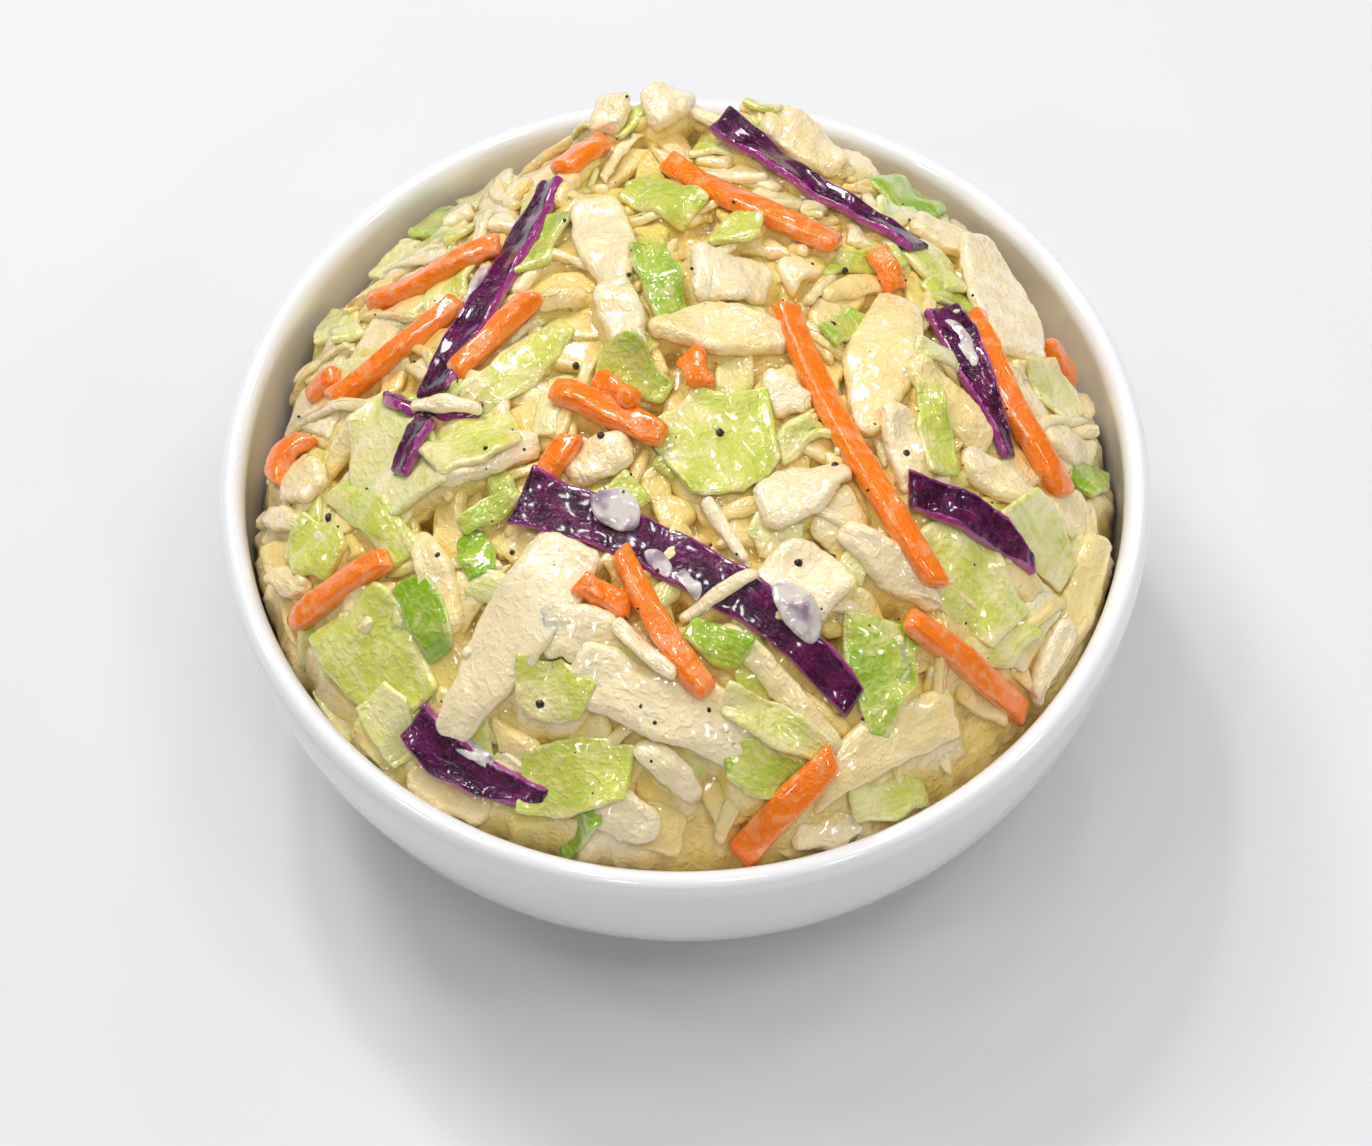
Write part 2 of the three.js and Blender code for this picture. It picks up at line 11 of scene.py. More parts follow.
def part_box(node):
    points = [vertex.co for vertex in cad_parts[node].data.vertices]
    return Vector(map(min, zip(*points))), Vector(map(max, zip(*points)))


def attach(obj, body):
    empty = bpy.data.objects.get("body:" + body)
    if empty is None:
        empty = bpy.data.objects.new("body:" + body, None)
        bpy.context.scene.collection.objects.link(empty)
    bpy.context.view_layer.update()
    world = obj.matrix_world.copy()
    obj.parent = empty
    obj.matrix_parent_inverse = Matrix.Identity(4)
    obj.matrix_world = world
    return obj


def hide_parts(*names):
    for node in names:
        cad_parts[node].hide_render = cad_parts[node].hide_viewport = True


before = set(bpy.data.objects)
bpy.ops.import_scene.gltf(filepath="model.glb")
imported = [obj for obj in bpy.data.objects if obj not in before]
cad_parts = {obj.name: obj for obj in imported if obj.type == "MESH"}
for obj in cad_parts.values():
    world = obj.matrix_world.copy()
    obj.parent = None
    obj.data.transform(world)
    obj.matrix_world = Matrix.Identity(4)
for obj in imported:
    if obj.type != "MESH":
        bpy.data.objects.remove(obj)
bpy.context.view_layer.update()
MM = 0.001


# Bowl
# One smooth wall of pressed stoneware, thrown to an even thickness and dipped in glossy white glaze.
# It stands on a turned foot ring, and the wall ends in a softly rounded lip.
bowl_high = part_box("bowl")[1]
OUTER_RADIUS = bowl_high.x
RIM_Z = bowl_high.z
WALL = 4.3 * MM
LIP_HEIGHT = 3 * MM
LIP_Z = RIM_Z - LIP_HEIGHT
INNER_RADIUS = OUTER_RADIUS - WALL
FOOT_OUTER = 36.5 * MM
FOOT_INNER = 30 * MM
FOOT_RECESS = 2 * MM
FOOT_ROUND = 0.8 * MM
FLOOR_RADIUS = 30 * MM
FLOOR_Z = 7 * MM
OUTER_BULGE = 2.05
INNER_BULGE = 2.15
WALL_RINGS = 36
LIP_STEPS = 14
BOWL_TURN_STEPS = 224
GLAZE_WHITE = (0.83, 0.83, 0.845, 1)
GLAZE_SHADE = (0.80, 0.80, 0.82, 1)
MERGE_REACH = 0.001 * MM
SLIVER = 0.0001 * MM


def wall_radius(z, top_radius, foot_radius, foot_z, bulge):
    depth = np.clip((LIP_Z - z) / (LIP_Z - foot_z), 0, 1)
    return foot_radius + (top_radius - foot_radius) * (1 - depth**bulge) ** (1 / bulge)


def inner_radius(z):
    return wall_radius(z, INNER_RADIUS, FLOOR_RADIUS, FLOOR_Z, INNER_BULGE)


def ring_heights(low, high, rings):
    """Heights up a wall, closest together near its foot, where it turns fastest."""
    return [low + (high - low) * (1 - math.cos(k / rings * math.pi / 2)) for k in range(rings + 1)]


def spun(profile, steps):
    """A mesh turned from a profile of radii and heights, both ends of which lie on the axis."""
    turned = bmesh.new()
    line = [turned.verts.new((r, 0, z)) for r, z in profile]
    edges = [turned.edges.new(pair) for pair in zip(line, line[1:])]
    bmesh.ops.spin(turned, geom=line + edges, cent=(0, 0, 0), axis=(0, 0, 1), angle=math.tau,
                   steps=steps, use_merge=True, use_duplicate=False)
    bmesh.ops.remove_doubles(turned, verts=turned.verts, dist=MERGE_REACH)
    bmesh.ops.dissolve_degenerate(turned, edges=turned.edges, dist=SLIVER)
    bmesh.ops.recalc_face_normals(turned, faces=turned.faces)
    return turned


class Wire:
    """A shader socket that can be used in sums, so that a mask reads as an expression."""

    def __init__(self, finish, socket):
        self.finish = finish
        self.socket = socket

    def sum(self, operation, first, second):
        return self.finish.node("ShaderNodeMath", {"operation": operation}, {0: first, 1: second})

    def __add__(self, other):
        return self.sum("ADD", self, other)

    def __radd__(self, other):
        return self.sum("ADD", other, self)

    def __sub__(self, other):
        return self.sum("SUBTRACT", self, other)

    def __rsub__(self, other):
        return self.sum("SUBTRACT", other, self)

    def __mul__(self, other):
        return self.sum("MULTIPLY", self, other)

    def __rmul__(self, other):
        return self.sum("MULTIPLY", other, self)


class Finish:
    """A material in the making. Its one method adds any node: settings first, then sockets."""

    def __init__(self, name):
        self.material = bpy.data.materials.new(name)
        self.material.use_nodes = True
        self.material.node_tree.nodes.clear()

    def node(self, kind, settings, sockets, out=0):
        made = self.material.node_tree.nodes.new(kind)
        for key, value in settings.items():
            setattr(made, key, value)
        for key, value in sockets.items():
            if isinstance(value, Wire):
                self.material.node_tree.links.new(value.socket, made.inputs[key])
            else:
                made.inputs[key].default_value = value
        return Wire(self, made.outputs[out]) if made.outputs else None

    def place(self):
        return self.node("ShaderNodeTexCoord", {}, {}, "Object")

    def attribute(self, name):
        return self.node("ShaderNodeAttribute", {"attribute_name": name}, {}, "Fac")

    def noise(self, vector, scale, detail=2.0, rough=0.5, warp=0.0):
        sockets = {"Vector": vector, "Scale": scale, "Detail": detail, "Roughness": rough, "Distortion": warp}
        return self.node("ShaderNodeTexNoise", {}, sockets, "Fac")

    def band(self, value, low, high):
        """0 below low, 1 above high, smooth between."""
        sockets = {"Value": value, "From Min": low, "From Max": high}
        return self.node("ShaderNodeMapRange", {"interpolation_type": "SMOOTHSTEP"}, sockets)

    def mix(self, first, second, share):
        sockets = {0: share, 6: first, 7: second}
        return self.node("ShaderNodeMix", {"data_type": "RGBA"}, sockets, 2)

    def paint_crease_shade(self, colour, patches):
        """Paints shade into a colour: turns it to honey and then to ochre where it lies deep between the
        pieces.
        """
        shade = self.attribute("depth") + (patches - 0.5) * 0.3
        warmed = self.mix(colour, SHADE_HONEY, self.band(shade, -0.05, 0.45))
        return self.mix(warmed, SHADE_OCHRE, self.band(shade, 0.4, 1.2))

    def beads(self, place, scale):
        """Sparse soft beads, as a wet coat draws itself into, with smooth film between them."""
        return self.band(self.noise(place, scale, 1.0, 0.5, 0.4), 0.4, 0.75)

    def bump(self, height, distance, strength=1.0):
        sockets = {"Height": height, "Distance": distance, "Strength": strength}
        return self.node("ShaderNodeBump", {}, sockets)

    def surface(self, sockets):
        shader = self.node("ShaderNodeBsdfPrincipled", {}, sockets)
        self.node("ShaderNodeOutputMaterial", {}, {"Surface": shader})
        return self.material


def make_piece(name, shape, material):
    """Turns a finished shape into a piece of the object, riding on its one body."""
    mesh = bpy.data.meshes.new(name)
    shape.to_mesh(mesh)
    shape.free()
    mesh.shade_smooth()
    mesh.materials.append(material)
    piece = bpy.data.objects.new(name, mesh)
    bpy.context.scene.collection.objects.link(piece)
    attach(piece, "root")
    return piece


def glaze_finish():
    glaze = Finish("white_glaze")
    place = glaze.place()
    pooled = glaze.noise(place, 38.0, 3.0)
    ripple = glaze.noise(place, 120.0, 1.0)
    return glaze.surface({
        "Base Color": glaze.mix(GLAZE_WHITE, GLAZE_SHADE, pooled),
        "Roughness": 0.09 + pooled * 0.07,
        "Coat Weight": 0.6,
        "Coat Roughness": 0.04,
        "Normal": glaze.bump(ripple, 0.05 * MM, 0.35),
    })


bowl_profile = [
    (0, FOOT_RECESS),
    (FOOT_INNER - FOOT_ROUND, FOOT_RECESS),
    (FOOT_INNER, FOOT_RECESS - FOOT_ROUND),
    (FOOT_INNER + FOOT_ROUND / 2, 0),
    (FOOT_OUTER - FOOT_ROUND, 0),
    (FOOT_OUTER - FOOT_ROUND / 4, FOOT_ROUND / 3),
    (FOOT_OUTER, FOOT_ROUND),
]
for z in ring_heights(FOOT_RECESS, LIP_Z, WALL_RINGS):
    bowl_profile.append((wall_radius(z, OUTER_RADIUS, FOOT_OUTER, FOOT_RECESS, OUTER_BULGE), z))
for k in range(1, LIP_STEPS):
    turn = k / LIP_STEPS * math.pi
    crest = OUTER_RADIUS - WALL / 2
    bowl_profile.append((crest + WALL / 2 * math.cos(turn), LIP_Z + LIP_HEIGHT * math.sin(turn)))
for z in reversed(ring_heights(FLOOR_Z, LIP_Z, WALL_RINGS)):
    bowl_profile.append((inner_radius(z), z))
bowl_profile.append((0, FLOOR_Z))
bowl = make_piece("glazed_bowl", spun(bowl_profile, BOWL_TURN_STEPS), glaze_finish())
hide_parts("bowl")


# Packed slaw
# The heap's own mass: fine cabbage pressed together in the bowl and domed up well above the rim, with
# short shreds lying on it. It is one soft body with the dressing, which goes on last.
GAP = 0.35 * MM
EDGE_INSET = 2 * MM
CORE_RADIUS = INNER_RADIUS - EDGE_INSET
CORE_APEX = 23.8 * MM
EDGE_BELOW_RIM = 9.5 * MM
EDGE_TILT = 2.5 * MM
# Two places where the heap stands lower at the wall: direction and spread in degrees, and depth.
HOLLOWS = ((155, 26, 4 * MM), (28, 22, 3.5 * MM))
# A last small mound against the far wall, its middle and its half widths.
BACK_HEAP_X, BACK_HEAP_Y = 4 * MM, 61 * MM
BACK_HEAP_WIDE, BACK_HEAP_DEEP, BACK_HEAP_HIGH = 24 * MM, 8 * MM, 13 * MM
WALL_FADE = 7 * MM
DOME_POWER = 2.5
DOME_SHARPNESS = 0.8
CORE_TOP_Z = RIM_Z - 25 * MM
CORE_RINGS = 24
CORE_TURN_STEPS = 96
CELL = 0.5 * MM
GRID_HALF = 76 * MM
CREAM = (0.93, 0.69, 0.30, 1)
PALE = (0.94, 0.77, 0.46, 1)
OLIVE_CREAM = (0.74, 0.63, 0.15, 1)
# Painted shade: the honey and ochre tones that the finishes turn to deep in the creases between the pieces.
SHADE_HONEY = (0.86, 0.64, 0.20, 1)
SHADE_OCHRE = (0.36, 0.20, 0.012, 1)
TOSS_SEED = 20
chance = np.random.default_rng(TOSS_SEED)


def core_top(x, y):
    """Height of the bare packed slaw at places seen from above."""
    radius = np.hypot(x, y)
    direction = np.arctan2(y, x)
    edge = RIM_Z - EDGE_BELOW_RIM - EDGE_TILT * np.sin(direction)
    for degrees, spread, depth in HOLLOWS:
        turn = direction - math.radians(degrees)
        away = np.arctan2(np.sin(turn), np.cos(turn)) / math.radians(spread)
        edge = edge - depth * np.exp(-away * away)
    out = np.minimum(radius / CORE_RADIUS, 1)
    dome = (1 - out**DOME_POWER) ** DOME_SHARPNESS
    side = (x - BACK_HEAP_X) / BACK_HEAP_WIDE
    back = (y - BACK_HEAP_Y) / BACK_HEAP_DEEP
    fade = np.clip((CORE_RADIUS - radius) / WALL_FADE, 0, 1)
    heaped = BACK_HEAP_HIGH * np.exp(-side**4 - back * back) * fade * fade * (3 - 2 * fade)
    return edge + (RIM_Z + CORE_APEX - edge) * dome + heaped


grid_axis = np.arange(-GRID_HALF, GRID_HALF + CELL, CELL)
top = core_top(*np.meshgrid(grid_axis, grid_axis))
wet = top.copy()


def cells_at(x, y):
    column = np.clip(np.rint((np.asarray(x) + GRID_HALF) / CELL).astype(int), 0, len(grid_axis) - 1)
    row = np.clip(np.rint((np.asarray(y) + GRID_HALF) / CELL).astype(int), 0, len(grid_axis) - 1)
    return row, column


class Lay:
    """How one cut piece lies: its middle line seen from above, its two edges and its height."""

    STATIONS = 9
    STEEPEST = 0.8
    FACE = 0.42
    WAVES_ALONG = (700, -450)
    WAVES_ACROSS = (300, 650)

    def __init__(self, ends, bow, left, right, thick, stiff, sink, slants=(0, 0), curl=0, wave=0):
        self.start, self.end = np.array(ends[:2]), np.array(ends[2:])
        self.length = float(np.linalg.norm(self.end - self.start))
        self.along = (self.end - self.start) / self.length
        self.side = np.array((-self.along[1], self.along[0]))
        self.bow, self.left, self.right = bow, np.array(left), np.array(right)
        self.thick, self.slants, self.curl, self.wave = thick, slants, curl, wave
        self.phases = chance.uniform(0, math.tau, 2)
        self.stations = np.linspace(0, 1, self.STATIONS)
        x, y = self.middle(self.stations)
        reach = np.maximum(0.4 * (self.edge(self.stations, 1) + self.edge(self.stations, -1)), CELL)
        high = top[cells_at(x + self.side[0] * reach, y + self.side[1] * reach)]
        low = top[cells_at(x - self.side[0] * reach, y - self.side[1] * reach)]
        rest = np.maximum(top[cells_at(x, y)], (high + low) / 2)
        self.tilt = np.clip((high - low) / (2 * reach), -self.STEEPEST, self.STEEPEST)
        hull = rest.copy()
        for a in range(self.STATIONS):
            for b in range(a + 2, self.STATIONS):
                share = np.linspace(0, 1, b - a + 1)
                hull[a:b + 1] = np.maximum(hull[a:b + 1], rest[a] * (1 - share) + rest[b] * share)
        self.height = rest + (hull - rest) * stiff + thick / 2 - sink
        for values in (self.height, self.tilt):
            values[1:-1] = (values[:-2] + 2 * values[1:-1] + values[2:]) / 4

    def middle(self, u):
        bow = self.bow * 4 * u * (1 - u)
        x = self.start[0] + (self.end[0] - self.start[0]) * u + self.side[0] * bow
        y = self.start[1] + (self.end[1] - self.start[1]) * u + self.side[1] * bow
        return x, y

    def edge(self, u, side):
        """Distance of one edge from the middle line; side is 1 for the left and -1 for the right."""
        widths = self.left if side > 0 else self.right
        return np.interp(u, np.linspace(0, 1, len(widths)), widths)

    def surface(self, u, v):
        """Points of the middle sheet, where u runs along and v across, from -1 to 1."""
        x, y = self.middle(u)
        across = np.where(v > 0, self.edge(u, 1), self.edge(u, -1)) * v
        slant = self.slants[0] * np.clip(1 - 3 * u, 0, 1) + self.slants[1] * np.clip(3 * u - 2, 0, 1)
        run = u * self.length
        ripple = np.sin(self.phases[0] + self.WAVES_ALONG[0] * run + self.WAVES_ACROSS[0] * across)
        ripple += 0.7 * np.sin(self.phases[1] + self.WAVES_ALONG[1] * run + self.WAVES_ACROSS[1] * across)
        z = np.interp(u, self.stations, self.height) + np.interp(u, self.stations, self.tilt) * across
        z = z + self.wave * ripple * (0.35 + 0.65 * np.abs(v)) + self.curl * v * v
        x = x + self.side[0] * across + self.along[0] * slant * across
        y = y + self.side[1] * across + self.along[1] * slant * across
        return np.stack((x, y, z), axis=-1)

    def raise_top(self, film):
        """Lifts the heap's top under the piece, and the dressing's level to a share of its thickness."""
        u = np.linspace(0, 1, int(self.length / CELL) + 2)
        v = np.linspace(-1, 1, int((self.left.max() + self.right.max()) / CELL) + 2)
        u, v = (g.ravel() for g in np.meshgrid(u, v))
        spots = self.surface(u, v)
        where = cells_at(spots[:, 0], spots[:, 1])
        np.maximum.at(top, where, spots[:, 2] + self.thick * self.FACE)
        bevel = self.thick * 0.5 * np.clip(np.abs(v) * 3 - 2, 0, 1)
        np.maximum.at(wet, where, spots[:, 2] + self.thick * film - bevel)


RUN_UNIT = 10 * MM
THINNEST = 0.1 * MM


def new_ball(rings, sides):
    """A ball with room on its corners for a cut piece's tone and for its own directions."""
    ball = bmesh.new()
    bmesh.ops.create_uvsphere(ball, u_segments=sides, v_segments=rings, radius=1.0)
    mesh = bpy.data.meshes.new("ball")
    ball.to_mesh(mesh)
    ball.free()
    for name in ("tone", "along", "across"):
        mesh.attributes.new(name, "FLOAT", "POINT")
    return mesh


def add_cut(shape, ball, lay, corner, square, tone):
    """Adds one cut piece to a shape: a ball drawn out along the lay, pressed flat, its ends cut off.

    The corner is the radius of its cut corners, and square how flat its faces are: 2 is an oval."""
    before = len(shape.verts)
    shape.from_mesh(ball)
    shape.verts.ensure_lookup_table()
    verts = shape.verts[before:]
    layers = shape.verts.layers.float
    tones, alongs, acrosses = layers["tone"], layers["along"], layers["across"]
    unit = np.array([v.co for v in verts])
    u = np.clip(0.5 - 0.5 * unit[:, 2], 0, 1)
    turn = np.arctan2(unit[:, 1], unit[:, 0])
    from_end = np.minimum(u, 1 - u) * lay.length
    half = np.maximum(np.where(np.cos(turn) > 0, lay.edge(u, 1), lay.edge(u, -1)), THINNEST)
    cut = np.minimum(corner, half)
    inset = 1 - np.clip(from_end / cut, 0, 1)
    plan = (half - cut + cut * np.sqrt(1 - inset**2)) / half
    blunt = 1 - np.clip(from_end / (lay.thick * 0.45), 0, 1)
    across = np.abs(np.cos(turn))
    up = np.sign(np.sin(turn)) * (1 - np.minimum(across, 1) ** square) ** (1 / square) * np.sqrt(1 - blunt**2)
    v = np.cos(turn) * plan * np.where(from_end > 1e-9, 1, 0)
    ahead = lay.surface(np.minimum(u + 0.03, 1), v) - lay.surface(np.maximum(u - 0.03, 0), v)
    beside = lay.surface(u, np.minimum(v + 0.1, 1)) - lay.surface(u, np.maximum(v - 0.1, -1))
    normal = np.cross(ahead, beside)
    normal /= np.linalg.norm(normal, axis=1, keepdims=True) + 1e-12
    placed = lay.surface(u, v) + normal * (up * lay.thick / 2)[:, None]
    for vert, spot, run, side in zip(verts, placed, u * lay.length, v):
        vert.co = spot
        vert[tones] = tone
        vert[alongs] = run / RUN_UNIT
        vert[acrosses] = side


def roughen(shape, amount, size):
    """Raises and lowers a shape's skin a little, as a coat of dressing does."""
    bmesh.ops.recalc_face_normals(shape, faces=shape.faces)
    shape.normal_update()
    for vert in shape.verts:
        lump = noise.noise(vert.co / size) + 0.45 * noise.noise(vert.co / (0.4 * size))
        vert.co += vert.normal * (amount * lump)


def keep_inside(ends, margin):
    """Moves a piece's two ends in from the wall where they would meet it."""
    points = np.array(ends).reshape(2, 2)
    radii = np.hypot(points[:, 0], points[:, 1])
    return (points * np.minimum(1, (INNER_RADIUS - margin) / radii)[:, None]).ravel()


def sunflower(count, reach):
    """Places spread evenly over the heap, as seeds are in a sunflower head."""
    for k in range(count):
        out = reach * math.sqrt((k + 0.5) / count)
        turn = k * math.pi * (3 - math.sqrt(5))
        yield out * math.cos(turn), out * math.sin(turn)


SCATTER_REACH = 67 * MM
WALL_MARGIN = 1.5 * MM


def scatter_cuts(shape, ball, count, half_lengths, half_widths, thicks, tones, sink):
    """Lays cut bits all over the heap, each at its own angle and of its own size in millimetres."""
    for x, y in sunflower(count, SCATTER_REACH):
        heading = chance.uniform(0, math.pi)
        half = chance.uniform(*half_lengths) * MM
        wide = chance.uniform(*half_widths) * MM
        step = np.array((math.cos(heading), math.sin(heading))) * half
        ends = keep_inside((x - step[0], y - step[1], x + step[0], y + step[1]), wide + WALL_MARGIN)
        left, right = wide * chance.uniform(0.5, 1.1, 5), wide * chance.uniform(0.5, 1.1, 5)
        bow, thick = chance.uniform(-1.5, 1.5) * MM, chance.uniform(*thicks) * MM
        slants, curl = chance.uniform(-0.8, 0.8, 2), chance.uniform(-0.6, 0.9) * MM
        lay = Lay(ends, bow, left, right, thick, 0.4, sink * MM, slants, curl, wave=0.25 * MM)
        corner, tone = chance.uniform(0.4, 1.2) * MM, chance.uniform(*tones)
        add_cut(shape, ball, lay, corner, 4, tone)
        lay.raise_top(film=0.1)


def moist(finish, colour, rough, normal, film):
    """The wet look that all the slaw shares: light soaks in a little, and the film on top is glossy."""
    return finish.surface({
        "Base Color": colour,
        "Roughness": rough,
        "Specular IOR Level": 0.5,
        "Subsurface Weight": 0.45,
        "Subsurface Radius": (1.0, 0.6, 0.2),
        "Subsurface Scale": 1.0 * MM,
        "Coat Weight": film,
        "Coat Roughness": 0.1,
        "Coat IOR": 1.7,
        "Normal": normal,
    })


def cabbage_finish(name, pale, warm, greenish):
    """Cabbage from cream to a yellow green, faintly veined along each piece, in a creamy coat."""
    cabbage = Finish(name)
    place = cabbage.place()
    patches = cabbage.noise(place, 210.0, 3.0)
    beads = cabbage.beads(place, 900.0)
    tone = cabbage.attribute("tone")
    lines = cabbage.node("ShaderNodeCombineXYZ", {}, {0: cabbage.attribute("along") * 0.25,
                                                      1: cabbage.attribute("across") * 2.5})
    veins = cabbage.noise(lines, 2.2, 1.0, 0.5, 0.4)
    colour = cabbage.mix(pale, warm, cabbage.band(tone + (patches - 0.5) * 0.6, 0.2, 0.8))
    colour = cabbage.mix(colour, greenish, cabbage.band(tone + (veins - 0.5) * 0.5, 0.75, 1.15))
    # Painted shade: honey, then ochre, deep in the creases between the pieces.
    colour = cabbage.paint_crease_shade(colour, patches)
    relief = beads * 0.3 + veins * 0.3 + patches
    return moist(cabbage, colour, 0.3, cabbage.bump(relief, 0.6 * MM, 0.8), 1.0)


core_profile = [(0, FLOOR_Z + GAP)]
for z in ring_heights(FLOOR_Z, CORE_TOP_Z - GAP, CORE_RINGS):
    core_profile.append((inner_radius(z) - GAP, max(z, FLOOR_Z + GAP)))
core_profile.append((0, CORE_TOP_Z - GAP))
slaw_pieces = [make_piece("packed_slaw", spun(core_profile, CORE_TURN_STEPS),
                          cabbage_finish("packed_slaw", PALE, CREAM, OLIVE_CREAM))]

bits_shape = bmesh.new()
scatter_cuts(bits_shape, new_ball(20, 22), count=170, half_lengths=(5, 9.5), half_widths=(2.6, 5.2),
             thicks=(1.8, 2.8), tones=(0, 1.1), sink=0.8)
scatter_cuts(bits_shape, new_ball(24, 14), count=70, half_lengths=(6, 10), half_widths=(0.8, 1.4),
             thicks=(1.3, 1.8), tones=(0, 0.9), sink=0.1)
roughen(bits_shape, amount=0.32 * MM, size=2 * MM)
leaf_shape = bmesh.new()
scatter_cuts(leaf_shape, new_ball(20, 20), count=50, half_lengths=(4, 7.5), half_widths=(2, 4.2),
             thicks=(1.2, 1.8), tones=(0.1, 0.7), sink=0.3)
slaw_pieces.append(make_piece("cabbage_bits", bits_shape,
                              cabbage_finish("cabbage_bits", PALE, CREAM, OLIVE_CREAM)))


# White cabbage
# Cut squares, wedges and ribs of white cabbage, 2 to 3 mm thick with their edges softened by the
# dressing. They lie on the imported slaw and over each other, each bridging the hollows below it.
CABBAGE_PALE = (0.92, 0.77, 0.50, 1)
CABBAGE_WARM = (0.90, 0.70, 0.31, 1)
CABBAGE_GREENISH = (0.78, 0.72, 0.22, 1)
# Each laid piece: its two ends, its bow, and its width at the start, the middle and the end, in mm.
CABBAGE_LAID = (
    (-12, 55.5, -9.5, 63, 0, 5, 6, 4.5),
    (-5, 57, 3, 62, 0, 6, 9, 5),
    (14.5, 57.5, 27, 50, 0, 7, 9, 5),
    (38.5, 41, 50, 35.5, 0, 6, 7, 4),
    (48, 38, 54, 12, 1, 5, 12, 9),
    (-13.5, 50.5, -19.5, 38, -1, 2.5, 4, 2.5),
    (-13.5, 36.5, -9.5, 15, 0, 8, 9, 3.5),
    (-22.5, 13.5, -12.5, 16, 1, 2, 3.2, 2),
    (2, 18.5, 14, 17.5, 0, 9, 11, 8),
    (-11, 15, -7, 1, 0, 6, 7, 4),
    (35, 18, 28, -10, 0, 8, 13, 4),
    (-5, 7.5, 17, 6.8, 0.5, 3, 10, 4),
    (12, -3, 20, -5, 0, 8, 6, 2),
    (36, 3, 47, -8, 0, 4, 8, 5),
    (43, -10.5, 56, -16, 0, 4, 7, 3),
    (65, -14.5, 54.5, -39, 1, 4, 6, 3),
    (60, -30, 54, -42, 0, 3, 4, 2.5),
    (32.5, -5.5, 37, -19, 0, 4, 8, 8),
    (11, -24, 25, -17, 0, 7, 9, 2),
    (23.5, -26.5, 38.5, -35, 0, 3, 6, 2),
    (13, -30, 22, -38, 0, 9, 13, 9),
    (-38, -16, -22, -10, 0, 4, 6, 4),
    (-18, -16.5, -8, -13, 0, 5, 7, 5),
    (-41, -22, -36, -38, 0, 4, 6, 4),
    (-63, -1, -58, -9, 0, 5, 8, 5),
    (-68, -6, -60.5, -13, 0, 2.5, 3.5, 2.5),
    (-66, -19, -59, -24, 0, 2.5, 4, 2.5),
    (-22, -41, -9, -43, 0, 6, 8, 4),
    (-17, -27, -37, -51, 1, 10, 14, 5),
    (-44, -53, -31, -61, 0, 5, 8, 5),
    (-16, -63, -5, -66, 0, 4, 7, 4),
    (-8, -56, 1, -62, 0, 3, 4, 3),
    (-18, -46, 11, -58, 1, 8, 11, 6),
    (5, -41, 23, -56.5, 0, 3, 4.4, 2),
    (15, -66, 27, -65.5, 0, 3, 6, 3),
    (40.5, -47.5, 18, -62.5, -1, 7, 7, 3.5),
)


def lay_row(row, thick, stiff, sink, curl, wave):
    """Lays a piece from a table row, with its other measures in millimetres."""
    ends = keep_inside(np.array(row[:4]) * MM, WALL_MARGIN + max(row[5:8]) / 4 * MM)
    widths = np.interp(np.linspace(0, 1, 5), np.linspace(0, 1, 3), np.array(row[5:8]) * MM / 2)
    left, right = widths * chance.uniform(0.86, 1.14, 5), widths * chance.uniform(0.86, 1.14, 5)
    slants = chance.uniform(-0.35, 0.35, 2)
    return Lay(ends, row[4] * MM, left, right, thick * MM, stiff, sink * MM, slants, curl * MM, wave * MM)


cabbage_shape = bmesh.new()
cabbage_ball = new_ball(44, 32)
for row in CABBAGE_LAID:
    lay = lay_row(row, thick=chance.uniform(2.6, 3.4), stiff=0.6, sink=0.6, curl=chance.uniform(-0.5, 0.7),
                  wave=0.25)
    corner, tone = chance.uniform(1.0, 2.2) * MM, chance.uniform(0, 0.7)
    add_cut(cabbage_shape, cabbage_ball, lay, corner, 3.4, tone)
    lay.raise_top(film=0.1)
roughen(cabbage_shape, amount=0.36 * MM, size=2.2 * MM)
slaw_pieces.append(make_piece("white_cabbage", cabbage_shape,
                              cabbage_finish("white_cabbage", CABBAGE_PALE, CABBAGE_WARM, CABBAGE_GREENISH)))


# Green leaf
# Torn and cut squares of the outer cabbage leaf, thin and wavy, from cream at the rib through pale
# green to a bright fresh green, all wetted with dressing.
LEAF_BRIGHT = (0.25, 0.45, 0.008, 1)
LEAF_PALE = (0.62, 0.64, 0.11, 1)
LEAF_CREAM = (0.88, 0.82, 0.42, 1)
